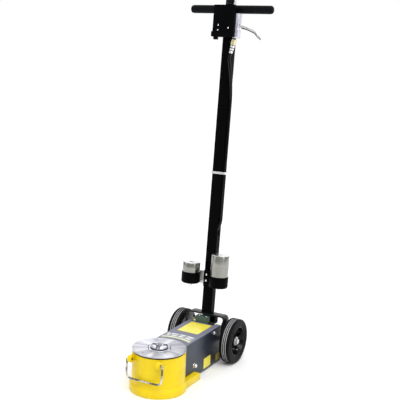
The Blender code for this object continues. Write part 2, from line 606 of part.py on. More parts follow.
def make_cups():
    bracket = block("cup_bracket", (-0.0125, -0.0500, 0.2095), (0.0125, POLE_Y - POLE_D / 2 - FIT,
                    0.2750), BLACK, 0.0015, parent=HANDLE)
    slot_front, slot_back = -0.0408, -0.0362
    boolean(bracket, block("bracket_slot", (-0.05, slot_front, 0.2147), (0.05, slot_back, 0.2698),
                           None, parent=HANDLE, group=TOOLS))
    hanger = block("cup_hanger", (-0.0480, slot_front + FIT, 0.2150), (0.0480, slot_back - FIT,
                   0.2695), ZINC, parent=HANDLE)
    for z, name in ((0.2574, "bracket_bolt_upper"), (0.2335, "bracket_bolt_lower")):
        at = (0.0, -0.0500, z)
        turned(name, [(0, 0.0042), (0.0030, 0.0038), (0.0048, 0.0020), (0.0048, FIT),
                      (0.0024, FIT), (0.0024, -0.0060), (0, -0.0060)], ZINC, at, ALONG_MINUS_Y,
               HANDLE, steps=16)
        boolean(bracket, rod(name + "_hole", 0.0027, -0.0065, 0.01, None, at, ALONG_MINUS_Y,
                             HANDLE, TOOLS, steps=16))
    low = CUP_TOP - CUP_H
    for side, word, height in ((-1, "short", SHORT_H), (1, "tall", TALL_H)):
        at = (side * CUP_X, CUP_Y, low)
        inside = CUP_R - CUP_WALL
        turned("cup_" + word, [
            (CUP_R, CUP_H), (CUP_R, 0.0060), (CUP_R - 0.0018, 0.0018), (CUP_R - 0.0060, 0),
            (0.0044, 0), (0.0044, 0.0030), (inside, 0.0030), (inside, CUP_H)], BLACK, at,
            parent=HANDLE, ring=True, steps=32)
        boolean(hanger, rod("hanger_end_" + word, CUP_R + FIT, -0.05, 0.1, None, at,
                            parent=HANDLE, group=TOOLS, steps=32))
        turned("cup_stud_" + word, [
            (0, 0.0110), (0.0040, 0.0110), (0.0040, -FIT), (0.0085, -FIT), (0.0085, -0.0110),
            (0.0050, -0.0125), (0.0050, -0.0165), (0, -0.0165)], ZINC, at, parent=HANDLE,
            steps=12)
        foot = 0.0030 + FIT
        top = foot + height
        hole = 0.0085 if word == "short" else 0.0060
        turned("adapter_" + word, [
            (ADAPTER_R - 0.0018, top), (ADAPTER_R, top - 0.0018), (ADAPTER_R, foot + 0.0015),
            (ADAPTER_R - 0.0015, foot), (hole, foot), (hole, top - 0.0015),
            (hole + 0.0015, top)], ZINC, at, parent=HANDLE, ring=True, steps=32)


def make_head():
    box = block("control_box", (BOX_X - BOX_HALF, BOX_FRONT, BOX_LOW),
                (BOX_X + BOX_HALF, BOX_BACK, BOX_TOP),
                BLACK, 0.0015, parent=HANDLE)
    shoe = block("box_shoe", (-0.020, BOX_BACK - 0.004, 1.205),
                 (0.0195, POLE_Y - POLE_D / 2 - FIT, 1.3080), None, parent=HANDLE, group=TOOLS)
    boolean(box, shoe, 'UNION')
    boolean(box, block("box_hollow", (BOX_X - BOX_HALF + 0.003, BOX_FRONT + 0.003, BOX_LOW - 0.01),
                       (BOX_X + BOX_HALF - 0.003, BOX_BACK - 0.003, BOX_TOP - 0.003), None,
                       parent=HANDLE, group=TOOLS))
    boolean(box, rod("box_side_port", 0.0105, BOX_HALF - 0.002, BOX_HALF + 0.007, None,
                     (BOX_X, (BOX_FRONT + BOX_BACK) / 2 + 0.001, 1.2010), (0, -math.pi / 2, 0),
                     HANDLE, TOOLS, steps=16), 'UNION')
    boolean(box, block("box_drain", (BOX_X - 0.039, BOX_FRONT + 0.001, 1.1790), (BOX_X - 0.0225, -0.0555,
                       BOX_LOW + 0.004), None, 0.001, parent=HANDLE, group=TOOLS), 'UNION')
    boolean(box, rod("knob_hole", 0.0053, 1.296, 1.33, None, (0.010, -0.0440, 0), parent=HANDLE,
                     group=TOOLS, steps=16))
    rod("t_bar", BAR_R, -GRIP_HALF + 0.004, GRIP_HALF - 0.004, BLACK, (0, POLE_Y, GRIP_Z),
              ALONG_X, HANDLE, steps=24)
    for side, word in ((-1, "left"), (1, "right")):
        turned("grip_" + word, [
            (0, GRIP_HALF), (GRIP_R - 0.006, GRIP_HALF), (GRIP_R - 0.0018, GRIP_HALF - 0.0018),
            (GRIP_R, GRIP_HALF - 0.006), (GRIP_R, 0.0220), (0.0128, 0.0220),
            (0.0128, GRIP_HALF - 0.0037), (0, GRIP_HALF - 0.0037)], GRIP, (0, POLE_Y, GRIP_Z),
            (0, side * math.pi / 2, 0), HANDLE, steps=24, ring=False)


def make_controls():
    knob_at = (0.010, -0.0440, 1.3082)
    knob = turned("release_knob", [
        (0, 0.0270), (0.0135, 0.0270), (0.0180, 0.0240), (0.0190, 0.0200), (0.0190, 0.0060),
        (0.0165, 0.0035), (0.0048, 0.0035), (0.0048, -0.0110), (0, -0.0110)], HUB, knob_at,
        parent=HANDLE, steps=24)
    flutes = 8
    for i in range(flutes):
        angle = 2 * math.pi * i / flutes
        flute = rod("knob_flute", 0.0022, -0.01, 0.04, None,
                    (knob_at[0] + 0.0200 * math.cos(angle), knob_at[1] + 0.0200 * math.sin(angle),
                     knob_at[2]), parent=HANDLE, group=TOOLS, steps=8)
        boolean(knob, flute)
    turned("bleed_stud", [(0, 0.0200), (0.0042, 0.0200), (0.0052, 0.0185), (0.0052, FIT), (0, FIT)],
           ZINC, (0.0355, -0.0585, BOX_TOP), parent=HANDLE, steps=16)

    low, high = 1.2270, 1.2805
    left, right, front, back = 0.0222, 0.0520, -0.0495, -0.0225
    valve = block("valve_body", (left, front, low), (right, back, high), ALUMINIUM, 0.0012,
                  parent=HANDLE)
    for i in range(3):
        y = front + 0.0062 + i * 0.0070
        boolean(valve, block("valve_rib", (right - 0.0018, y, low + 0.012),
                             (right + 0.01, y + 0.0030, high + 0.01), None, parent=HANDLE,
                             group=TOOLS))
    slant = block("valve_slant", (-0.02, -0.04, 0), (0.02, 0.04, 0.02), None, parent=HANDLE,
                  group=TOOLS)
    slant.location = (right, (front + back) / 2, high + 0.004)
    slant.rotation_euler = (0, math.radians(32), 0)
    boolean(valve, slant)
    pivot = Vector((0.0465, (front + back) / 2, low + 0.0050))
    boolean(valve, block("lever_slot", (0.0385, pivot.y - 0.0053, low - 0.01),
                         (0.07, pivot.y + 0.0053, low + 0.0145), None, parent=HANDLE, group=TOOLS))
    boolean(valve, rod("lever_pin_hole", 0.0023, -0.03, 0.03, None, pivot, ALONG_MINUS_Y, HANDLE,
                       TOOLS, steps=12))
    rod("lever_pin", 0.0020, -0.0145, 0.0145, ZINC, pivot, ALONG_MINUS_Y, HANDLE, steps=12)
    make_lever(pivot)
    inlet = block("inlet_block", (0.0270, -0.0465, 1.1880), (0.0540, -0.0255, 1.2220), ZINC, 0.003,
                  parent=HANDLE)
    boolean(inlet, block("inlet_neck", (0.0275, -0.0420, 1.2150), (0.0375, -0.0300, low - FIT),
                         None, parent=HANDLE, group=TOOLS), 'UNION')
    make_fitting()


def make_lever(pivot):
    """A curved hand lever: a strip that leaves its boss sideways and sweeps down."""
    root, tip = 0.0095, 0.0065
    spine = [Vector((0.0040, 0)), Vector((0.0350, -0.0060)), Vector((0.0700, -0.0200)),
             Vector((0.0840, -0.0330)), Vector((0.0990, -0.0445))]
    path = []
    for i in range(17):
        t = i / 16 * (len(spine) - 1)
        k = min(int(t), len(spine) - 2)
        f = t - k
        p0, p1 = spine[max(k - 1, 0)], spine[k]
        p2, p3 = spine[k + 1], spine[min(k + 2, len(spine) - 1)]
        path.append(0.5 * ((2 * p1) + (p2 - p0) * f + (2 * p0 - 5 * p1 + 4 * p2 - p3) * f * f
                           + (3 * p1 - p0 - 3 * p2 + p3) * f ** 3))
    upper, lower = [], []
    for i, point in enumerate(path):
        ahead = path[min(i + 1, len(path) - 1)] - path[max(i - 1, 0)]
        normal = Vector((-ahead.y, ahead.x)).normalized()
        reach = (root + (tip - root) * i / (len(path) - 1)) / 2
        upper.append(point + normal * reach)
        lower.append(point - normal * reach)
    boss = arc((0, 0), 0.0048, 330, 30, 10)
    outline = [tuple(p) for p in reversed(lower[1:])] + boss + [tuple(p) for p in upper[1:]]
    sheet("control_lever", outline, 0.0100, ALUMINIUM, pivot, (math.pi / 2, 0, 0), HANDLE,
          holes=[arc((0, 0), 0.0023, 0, 330, 11)])


def make_fitting():
    """Swivel nut, ferrule and hose tail on one slanting axis under the inlet nipple."""
    stop = FITTING_END
    lean = (FITTING_TOP - stop).to_track_quat('Z', 'Y').to_euler()
    length = (FITTING_TOP - stop).length
    turned("swivel_nut", [(0, length - 0.0030), (0.0100, length - 0.0030), (0.0112, length - 0.0045),
                          (0.0112, 0.0355), (0.0100, 0.0340), (0, 0.0340)], BRASS, stop, lean,
           HANDLE, steps=6)
    turned("hose_ferrule", [
        (0, 0.0337), (0.0085, 0.0337), (0.0085, 0.0160), (0.0068, 0.0150), (0.0068, FIT),
        (0, FIT)], ZINC, stop, lean, HANDLE, steps=SMALL_STEPS)


make_base()
make_cylinder()
make_rams()
make_bail()
make_cover()
make_chassis()
make_pump()
make_wheels()
make_yoke()
make_pole()
make_hose()
make_cups()
make_head()
make_controls()
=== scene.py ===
"""Looks of the air-hydraulic truck jack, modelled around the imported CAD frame."""
import json
import math

import bmesh
import bpy
from mathutils import Matrix, Vector


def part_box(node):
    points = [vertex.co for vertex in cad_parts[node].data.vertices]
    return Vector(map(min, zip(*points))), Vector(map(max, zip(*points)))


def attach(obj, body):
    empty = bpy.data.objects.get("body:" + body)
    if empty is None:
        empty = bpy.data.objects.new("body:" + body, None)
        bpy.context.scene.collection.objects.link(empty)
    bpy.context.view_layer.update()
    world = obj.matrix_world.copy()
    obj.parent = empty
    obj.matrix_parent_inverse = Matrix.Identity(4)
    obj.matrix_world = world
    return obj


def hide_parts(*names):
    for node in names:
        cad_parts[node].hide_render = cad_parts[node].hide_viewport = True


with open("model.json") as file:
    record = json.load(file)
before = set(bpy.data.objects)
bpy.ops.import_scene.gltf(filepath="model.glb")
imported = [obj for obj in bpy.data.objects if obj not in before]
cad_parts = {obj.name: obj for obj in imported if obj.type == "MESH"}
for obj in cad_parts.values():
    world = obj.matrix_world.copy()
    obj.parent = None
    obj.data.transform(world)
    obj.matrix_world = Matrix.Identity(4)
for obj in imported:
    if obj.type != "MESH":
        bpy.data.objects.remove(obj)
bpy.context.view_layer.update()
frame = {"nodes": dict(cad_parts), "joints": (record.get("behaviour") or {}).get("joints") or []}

JOINTS = {joint["name"]: joint for joint in frame["joints"]}
AXLE = Vector(JOINTS["handle_tilt"]["pos_m"])
UP_POLE = Vector(JOINTS["adapter_tall_lift"]["axis"])
LEAN = math.atan2(UP_POLE.y, UP_POLE.z)
HANDLE = Matrix.Translation(AXLE) @ Matrix.Rotation(-LEAN, 4, 'X')
GROUND = Matrix.Identity(4)
UPRIGHT = Matrix.Rotation(math.pi / 2, 4, 'Z') @ Matrix.Rotation(math.pi / 2, 4, 'X')
FIT = 0.0003
MERGE = 0.000004


# ---------------------------------------------------------------- finishes
class Signal:
    """A number socket of a finish, with Python's own arithmetic."""

    def __init__(self, finish, socket):
        self.finish = finish
        self.socket = socket

    def _pair(self, operation, first, second):
        return self.finish.math(operation, first, second)

    def __add__(self, other):
        return self._pair('ADD', self, other)

    def __sub__(self, other):
        return self._pair('SUBTRACT', self, other)

    def __rsub__(self, other):
        return self._pair('SUBTRACT', other, self)

    def __mul__(self, other):
        return self._pair('MULTIPLY', self, other)

    __radd__ = __add__
    __rmul__ = __mul__


class Finish:
    """One procedural material on a Principled shader."""

    def __init__(self, name, colour, roughness, metallic=0.0, **uniform):
        self.material = bpy.data.materials.new(name)
        self.material.use_nodes = True
        self.tree = self.material.node_tree
        self.shader = self.tree.nodes["Principled BSDF"]
        self.colour = (*colour, 1.0)
        self.feed("Base Color", self.colour)
        self.feed("Roughness", roughness)
        self.feed("Metallic", metallic)
        for socket, value in uniform.items():
            self.feed(socket.replace("_", " ").title().replace("Ior", "IOR"), value)
        coordinates = self.node("ShaderNodeTexCoord", {}, {}).outputs
        self.place, self.normal = coordinates["Object"], coordinates["Normal"]

    def feed(self, socket, value):
        self.join(value, self.shader.inputs[socket])

    def join(self, value, socket):
        if isinstance(value, Signal):
            value = value.socket
        if isinstance(value, bpy.types.NodeSocket):
            self.tree.links.new(value, socket)
        else:
            socket.default_value = value

    def node(self, kind, settings, inputs):
        """Any node: its settings first, then the values or links of its sockets."""
        made = self.tree.nodes.new(kind)
        for setting, value in settings.items():
            setattr(made, setting, value)
        for socket, value in inputs.items():
            self.join(value, made.inputs[socket])
        return made

    def math(self, operation, first, second=0.0):
        made = self.node("ShaderNodeMath", {"operation": operation}, {0: first, 1: second})
        return Signal(self, made.outputs[0])

    def stretched(self, scale=(1, 1, 1), shift=(0, 0, 0), turn=(0, 0, 0)):
        made = self.node("ShaderNodeMapping", {}, {
            "Vector": self.place, "Scale": scale, "Location": shift, "Rotation": turn})
        return made.outputs["Vector"]

    def grain(self, scale, detail=3.0, place=None, roughness=0.55):
        made = self.node("ShaderNodeTexNoise", {}, {
            "Vector": place or self.place, "Scale": scale, "Detail": detail,
            "Roughness": roughness})
        return Signal(self, made.outputs["Fac"])

    def span(self, value, low, high, to_low=0.0, to_high=1.0):
        made = self.node("ShaderNodeMapRange", {"clamp": True}, {
            0: value, 1: low, 2: high, 3: to_low, 4: to_high})
        return Signal(self, made.outputs[0])

    def blend(self, factor, first, second):
        made = self.node("ShaderNodeMix", {"data_type": 'RGBA'}, {
            0: factor, 6: first, 7: second})
        return made.outputs[2]

    def vector(self, operation, first, second=(0, 0, 0)):
        made = self.node("ShaderNodeVectorMath", {"operation": operation}, {0: first, 1: second})
        return made.outputs["Vector"]

    def bump(self, height, strength, distance):
        made = self.node("ShaderNodeBump", {}, {
            "Strength": strength, "Distance": distance, "Height": height})
        self.feed("Normal", made.outputs["Normal"])

    def radius(self):
        """Distance from the Z axis."""
        x, y = self.parts(self.place)[:2]
        return self.math('SQRT', x * x + y * y)

    def parts(self, vector):
        made = self.node("ShaderNodeSeparateXYZ", {}, {0: vector})
        return [Signal(self, socket) for socket in made.outputs]

    def height(self):
        return self.parts(self.place)[2]

    def facing(self, axis):
        """How far the surface's own normal follows an axis, 0 to 1."""
        return self.math('ABSOLUTE', self.parts(self.normal)[axis])


def tint(colour, factor):
    return (*(min(1.0, part * factor) for part in colour[:3]), 1.0)


def enamel(name, colour, roughness=0.30, peel=0.10):
    """Thick gloss paint: fine orange peel, soft tone changes and grime low down."""
    made = Finish(name, colour, roughness, coat_weight=0.10, coat_roughness=0.10,
                  specular_ior_level=0.25)
    tone = made.grain(9.0, 4.0)
    toned = made.blend(made.span(tone, 0.35, 0.7), tint(colour, 0.90), tint(colour, 1.06))
    grime = made.grain(38.0, 6.0, roughness=0.7)
    low = made.span(made.height(), 0.0, 0.035, 1.0, 0.0)
    marks = made.span(grime, 0.56, 0.74) * (low * 0.55 + 0.10)
    made.feed("Base Color", made.blend(marks, toned, (0.10, 0.085, 0.05, 1)))
    made.feed("Roughness", made.span(tone, 0.2, 0.8, roughness - 0.05, roughness + 0.10)
              + marks * 0.35)
    made.bump(made.grain(420.0, 2.0), peel, 0.0006)
    return made


def powder(name, colour, roughness=0.42, scuffs=0.35, sheen=0.35):
    """Powder coat: pebbled skin, slight sheen changes and rubbed patches."""
    made = Finish(name, colour, roughness, specular_ior_level=sheen)
    tone = made.grain(14.0, 5.0)
    wear = made.span(made.grain(55.0, 8.0, roughness=0.75), 0.64, 0.78) * scuffs
    toned = made.blend(made.span(tone, 0.3, 0.7), tint(colour, 0.82), tint(colour, 1.18))
    made.feed("Base Color", made.blend(wear, toned, tint(colour, 3.2)))
    made.feed("Roughness", made.span(tone, 0.25, 0.75, roughness - 0.07, roughness + 0.09))
    made.bump(made.grain(700.0, 2.0), 0.16, 0.0005)
    return made


def slate(name, front, rear, dust):
    """Dark sheet paint: pale dust with a painted sheen on what faces up, and painted shade making it
    darker towards the back.
    """
    made = Finish(name, front, 0.38, specular_ior_level=0.4)
    tone = made.grain(12.0, 5.0)
    # Painted shade: the colour darkens from front to rear, where the wheel shades the cover.
    back = made.span(made.parts(made.place)[1], 0.12, 0.29)
    side = made.blend(back, (*front, 1), (*rear, 1))
    # Upward faces blend to a pale colour: partly dust, partly a painted sheen of the overhead light.
    up = made.span(made.parts(made.normal)[2], 0.55, 0.95)
    settled = up * made.span(tone, 0.2, 0.55, 0.80, 1.0)
    made.feed("Base Color", made.blend(settled, side, (*dust, 1)))
    made.feed("Roughness", made.span(tone, 0.25, 0.75, 0.30, 0.46) + settled * 0.15)
    made.bump(made.grain(700.0, 2.0), 0.14, 0.0005)
    return made


def plated(name, colour, roughness=0.28, spread=0.15, straw=0.3, metallic=1.0):
    """Bright plate: clouded, a faint straw tint and drawn lines."""
    made = Finish(name, colour, roughness, metallic)
    cloud = made.grain(26.0, 5.0)
    warm = made.blend(made.span(cloud, 0.38, 0.66), tint(colour, 1 - spread),
                      tint(colour, 1 + spread))
    yellowed = made.span(made.grain(11.0, 3.0), 0.52, 0.72) * straw
    made.feed("Base Color", made.blend(yellowed, warm, (*(p * q for p, q in zip(
        colour, (1.12, 1.04, 0.74))), 1)))
    made.feed("Roughness", made.span(cloud, 0.3, 0.7, roughness - 0.06, roughness + 0.12))
    made.bump(made.grain(160.0, 3.0, made.stretched((1, 1, 9))), 0.10, 0.0004)
    return made


def top_highlighted(name, side, top, roughness):
    """Turned steel: dark round its side, with a painted highlight that turns what faces up near
    white.
    """
    made = Finish(name, side, roughness, metallic=1.0)
    cloud = made.grain(20.0, 3.0)
    # Painted highlight: faces that point up take the near-white top colour.
    up = made.span(made.parts(made.normal)[2], 0.45, 0.90)
    toned = made.blend(made.span(cloud, 0.3, 0.7), tint(side, 0.90), tint(side, 1.12))
    made.feed("Base Color", made.blend(up, toned, (*top, 1)))
    made.feed("Roughness", made.span(cloud, 0.3, 0.7, roughness - 0.05, roughness + 0.08))
    made.bump(made.grain(260.0, 3.0, made.stretched((1, 1, 8))), 0.08, 0.0003)
    return made


def reflection_streaked(name, dark, bright, roughness):
    """Bright bar painted dark and broken by bright patches: painted reflections and glints on the
    metal.
    """
    made = Finish(name, dark, roughness, metallic=1.0)
    # Painted reflections: noise patches switch between the dark and the bright colour.
    glint_patch = made.grain(30.0, 2.0)
    made.feed("Base Color", made.blend(made.span(glint_patch, 0.46, 0.62), (*dark, 1), (*bright, 1)))
    made.feed("Roughness", made.span(glint_patch, 0.4, 0.6, roughness + 0.08, roughness - 0.04))
    made.bump(made.grain(220.0, 3.0), 0.10, 0.0003)
    return made


def crowned(name, colour, low, high):
    """Bright cast steel, darkened below a height as painted shade in the slots and the dish."""
    made = Finish(name, colour, 0.2, metallic=1.0)
    cloud = made.grain(60.0, 4.0)
    toned = made.blend(made.span(cloud, 0.35, 0.65), tint(colour, 0.86), tint(colour, 1.1))
    # Painted shade: everything below the height takes a dark bluish grey.
    above_painted_shade = made.span(made.height(), low, high)
    made.feed("Base Color", made.blend(above_painted_shade, (0.16, 0.165, 0.19, 1), toned))
    made.feed("Roughness", made.span(cloud, 0.3, 0.7, 0.14, 0.28))
    made.bump(made.grain(300.0, 3.0), 0.10, 0.0003)
    return made


def turned_metal(name, colour, roughness, pitch=0.0011, strength=0.28, glare=0.0):
    """Metal faced on a lathe: rings, painted reflection sectors, bright and dark, round its axis on
    flat faces, fine scratches.
    """
    made = Finish(name, colour, roughness, metallic=1.0)
    rings = made.math('SINE', made.radius() * (2 * math.pi / pitch))
    cloud = made.grain(30.0, 6.0)
    scratch = made.span(made.grain(90.0, 9.0, made.stretched((1, 7, 1)), 0.8), 0.60, 0.72)
    flat = made.span(made.facing(2), 0.85, 0.95)
    level = made.vector('MULTIPLY', made.place, (1, 1, 0))
    sector = made.grain(1.9, 3.0, made.vector('NORMALIZE', level))
    toned = made.blend(made.span(cloud, 0.32, 0.70), tint(colour, 0.90), tint(colour, 1.10))
    # Painted reflections: bright and dark sectors on flat faces, scaled by glare, stand in for a
    # turned face's sheen.
    lit = made.span(sector, 0.44, 0.60) * flat * glare
    shaded = made.blend(lit, toned, (0.98, 0.97, 1.0, 1))
    painted_dark_sector = made.span(sector, 0.46, 0.32) * flat * glare
    made.feed("Base Color", made.blend(painted_dark_sector, shaded, tint(colour, 0.62)))
    made.feed("Roughness", made.span(cloud, 0.3, 0.7, roughness - 0.05, roughness + 0.10)
              + scratch * 0.12)
    made.bump((rings * flat) * 0.5 + scratch * 0.4, strength, 0.00025)
    return made


def moulded(name, colour, roughness, pebble=0.2, scale=520.0, sheen=0.3):
    """Rubber or plastic from a mould."""
    made = Finish(name, colour, roughness, specular_ior_level=sheen)
    cloud = made.grain(22.0, 5.0)
    made.feed("Base Color", made.blend(made.span(cloud, 0.3, 0.7), tint(colour, 0.80),
                                       tint(colour, 1.25)))
    made.feed("Roughness", made.span(cloud, 0.3, 0.7, roughness - 0.08, roughness + 0.08))
    made.bump(made.grain(scale, 3.0), pebble, 0.0005)
    return made


def tread(name, colour, dust, radius, middle):
    """Tyre rubber with pale road dust in the grooves, and faint pale rings on the walls that are
    partly dust and partly painted ring highlights.
    """
    made = Finish(name, colour, 0.5, specular_ior_level=0.10)
    x, y, z = made.parts(made.stretched(shift=(0, -AXLE.y, -AXLE.z)))
    reach = made.math('SQRT', y * y + z * z)
    cloud = made.grain(70.0, 6.0, roughness=0.7)
    inside = made.span(reach, radius - 0.0009, radius - 0.0022)
    tread_side = made.span(reach, radius - 0.0075, radius - 0.0050)
    crown = made.span(made.math('ABSOLUTE', made.math('ABSOLUTE', x) - middle), 0.0150, 0.0135)
    settled = inside * tread_side * crown * made.span(cloud, 0.25, 0.55, 0.65, 1.0)
    # Pale sidewall rings: part dust, part a painted highlight on the rings of the wall.
    rings = made.span(made.math('SINE', reach * (2 * math.pi / 0.0095)), 0.75, 1.0)
    film = rings * (1.0 - tread_side) * made.span(cloud, 0.35, 0.65) * 0.07
    made.feed("Base Color", made.blend(made.math('MAXIMUM', settled, film), (*colour, 1),
                                       (*dust, 1)))
    made.feed("Roughness", made.span(cloud, 0.3, 0.7, 0.42, 0.58) + settled * 0.3)
    made.bump(made.grain(420.0, 3.0), 0.3, 0.0004)
    return made


def printed(name, colour, second):
    """A printed film label: soft mottling between two tones under a clear coat."""
    made = Finish(name, colour, 0.32, coat_weight=0.3, coat_roughness=0.12)
    cloud = made.grain(34.0, 4.0)
    made.feed("Base Color", made.blend(made.span(cloud, 0.40, 0.66), (*colour, 1), (*second, 1)))
    made.feed("Roughness", made.span(cloud, 0.3, 0.7, 0.30, 0.44))
    made.bump(made.grain(240.0, 2.0), 0.05, 0.0003)
    return made


YELLOW = enamel("yellow_enamel", (0.84, 0.62, 0.003))
WELD = enamel("weld_enamel", (0.84, 0.62, 0.003), 0.26, 0.9)
# Slate: front colour, darker rear colour as painted shade, and a pale colour of dust and painted
# sheen for upward faces.
SLATE = slate("slate_paint", (0.046, 0.058, 0.078), (0.0075, 0.010, 0.020), (0.185, 0.190, 0.255))
BLACK = powder("black_powder", (0.0012, 0.0012, 0.0015), 0.40, 0.08, 0.03)
BOX_BLACK = powder("housing_black", (0.0016, 0.0018, 0.0022), 0.36, 0.06, 0.03)
GREEN = powder("yoke_green", (0.0040, 0.0070, 0.0066), 0.26, 0.30, 0.22)
GREEN_LIGHT = powder("manifold_green", (0.050, 0.095, 0.078), 0.36, 0.25, 0.4)
ZINC = plated("zinc_plate", (0.62, 0.63, 0.66))
STRIP_ZINC = plated("strip_zinc", (0.97, 0.97, 0.99), 0.50, 0.02)
# The last number of a turned finish sets the strength of its painted reflection sectors.
HEAD_STEEL = turned_metal("head_steel", (0.64, 0.64, 0.71), 0.34, 0.0013, 0.16, 0.80)
RAM_STEEL = turned_metal("ram_steel", (0.88, 0.88, 0.94), 0.26, 0.0013, 0.16, 0.25)
HONED = turned_metal("honed_chrome", (0.78, 0.78, 0.80), 0.13, 0.0006, 0.12)
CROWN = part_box("saddle")[1].z
# Saddle: the two heights bound the painted shade in its slots and dish.
SADDLE_STEEL = crowned("saddle_steel", (0.84, 0.85, 0.90), CROWN - 0.0088, CROWN - 0.0072)
CHROME = plated("bright_chrome", (0.92, 0.92, 0.95), 0.18, 0.10, 0.0)
# Washers and bail: a dark base with bright patches, painted reflections standing in for the chrome's
# mirror look.
WASHER_STEEL = reflection_streaked("washer_steel", (0.10, 0.10, 0.11), (0.90, 0.90, 0.92), 0.30)
BAIL_STEEL = reflection_streaked("bail_steel", (0.13, 0.13, 0.13), (0.72, 0.72, 0.72), 0.24)
# Adapters: the near-white second colour is a painted highlight on their tops.
ADAPTER_ZINC = top_highlighted("adapter_zinc", (0.33, 0.33, 0.30), (0.98, 0.98, 0.98), 0.24)
CAST = plated("cast_aluminium", (0.74, 0.72, 0.82), 0.40, 0.10, 0.0, 0.45)
CAST_BRIGHT = plated("polished_aluminium", (0.95, 0.95, 0.97), 0.24, 0.06, 0.0)
BRASS = plated("plain_brass", (0.88, 0.80, 0.52), 0.32, 0.12, 0.0)
BRONZE = moulded("sintered_bronze", (0.020, 0.016, 0.010), 0.55, 0.8, 900.0)
TYRE = tread("tyre_rubber", (0.0030, 0.0030, 0.0034), (0.60, 0.60, 0.62), AXLE.z,
             sum(corner.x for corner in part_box("tyre_right")) / 2)
HUB = moulded("hub_plastic", (0.0016, 0.0016, 0.0018), 0.16, 0.06, 520.0, 0.22)
HOSE = moulded("hose_rubber", (0.0012, 0.0012, 0.0015), 0.12, 0.02, 300.0, 0.22)
GRIP = moulded("grip_foam", (0.0035, 0.0042, 0.0055), 0.42, 0.3, 900.0, 0.06)
SEAL = moulded("seal_rubber", (0.004, 0.004, 0.004), 0.5)
LABEL = printed("yellow_label", (0.90, 0.76, 0.045), (0.92, 0.80, 0.10))
# The rear side label's colours are darkened as painted shadow from the wheel.
LABEL_WHEEL_SHADOW = printed("label_wheel_shadow", (0.60, 0.44, 0.030), (0.26, 0.20, 0.04))
BAND_WHITE = printed("white_band", (0.78, 0.80, 0.78), (0.52, 0.56, 0.54))
BAND_PALE = printed("pale_band", (0.32, 0.34, 0.42), (0.22, 0.24, 0.30))
BAND_GREEN = printed("yellow_green_band", (0.46, 0.52, 0.12), (0.60, 0.63, 0.30))
BAND_DARK = printed("dark_band", (0.060, 0.066, 0.080), (0.10, 0.11, 0.13))


# ---------------------------------------------------------------- hand tools
def adopt(name):
    piece = bpy.context.object
    piece.name = name
    piece.data.name = name
    return piece


def clear_picks():
    bpy.ops.object.select_all(action='DESELECT')


def only(piece):
    clear_picks()
    piece.select_set(True)
    bpy.context.view_layer.objects.active = piece


def edit(piece):
    only(piece)
    bpy.ops.object.mode_set(mode='EDIT')
    bpy.ops.mesh.select_mode(type='VERT')


def leave():
    bpy.ops.object.mode_set(mode='OBJECT')


def pick_edges(test):
    """Select, in edit mode, the edges that pass a test."""
    data = bpy.context.edit_object.data
    bpy.ops.mesh.select_mode(type='EDGE')
    bpy.ops.mesh.select_all(action='DESELECT')
    work = bmesh.from_edit_mesh(data)
    for edge in work.edges:
        edge.select_set(bool(test(edge)))
    bmesh.update_edit_mesh(data)


def above(height):
    """A test for edges that lie wholly above a height."""
    return lambda edge: min(vert.co.z for vert in edge.verts) > height


def spans(edge, axis):
    """How far an edge reaches along an axis."""
    first, second = edge.verts
    return abs(first.co[axis] - second.co[axis])


def round_edges(piece, offset, segments, test):
    """Bevel the edges of a piece that pass a test."""
    edit(piece)
    pick_edges(test)
    bpy.ops.mesh.bevel(offset=offset, segments=segments, affect='EDGES')
    leave()


def bar(name, low, high):
    """A block between two corners."""
    low, high = Vector(low), Vector(high)
    clear_picks()
    bpy.ops.mesh.primitive_cube_add(size=1.0, location=(low + high) / 2, scale=high - low)
    bpy.ops.object.transform_apply(location=True, rotation=True, scale=True)
    return adopt(name)


def round_bar(name, radius, low, high, at=(0, 0), sides=48, top=None):
    """An upright round bar, or a taper when it has a top radius."""
    clear_picks()
    middle = (*at, (low + high) / 2)
    if top is None:
        bpy.ops.mesh.primitive_cylinder_add(vertices=sides, radius=radius, depth=high - low,
                                            location=middle)
    else:
        bpy.ops.mesh.primitive_cone_add(vertices=sides, radius1=radius, radius2=top,
                                        depth=high - low, location=middle)
    bpy.ops.object.transform_apply(location=True, rotation=True, scale=True)
    return adopt(name)


def pick_all():
    bpy.ops.mesh.select_all(action='SELECT')


def merge_doubles():
    pick_all()
    bpy.ops.mesh.remove_doubles(threshold=MERGE)


def face_outwards():
    pick_all()
    bpy.ops.mesh.normals_make_consistent(inside=False)


def trace(name, corners):
    """Extrude one point from corner to corner and back to the first; stays in edit mode."""
    clear_picks()
    bpy.ops.mesh.primitive_plane_add(size=0.001, location=(0, 0, 0))
    piece = adopt(name)
    edit(piece)
    pick_all()
    bpy.ops.mesh.merge(type='CENTER')
    bpy.ops.transform.translate(value=corners[0])
    for before, after in zip(corners, corners[1:] + corners[:1]):
        step = tuple(end - start for start, end in zip(before, after))
        bpy.ops.mesh.extrude_region_move(TRANSFORM_OT_translate={"value": step})
    merge_doubles()
    return piece


def lathe(name, profile, sides=64):
    """Draw a (radius, height) profile and spin it about Z."""
    piece = trace(name, [(radius, 0, height) for radius, height in profile])
    pick_all()
    bpy.ops.mesh.spin(steps=sides, angle=2 * math.pi, center=(0, 0, 0), axis=(0, 0, 1))
    merge_doubles()
    face_outwards()
    leave()
    return piece


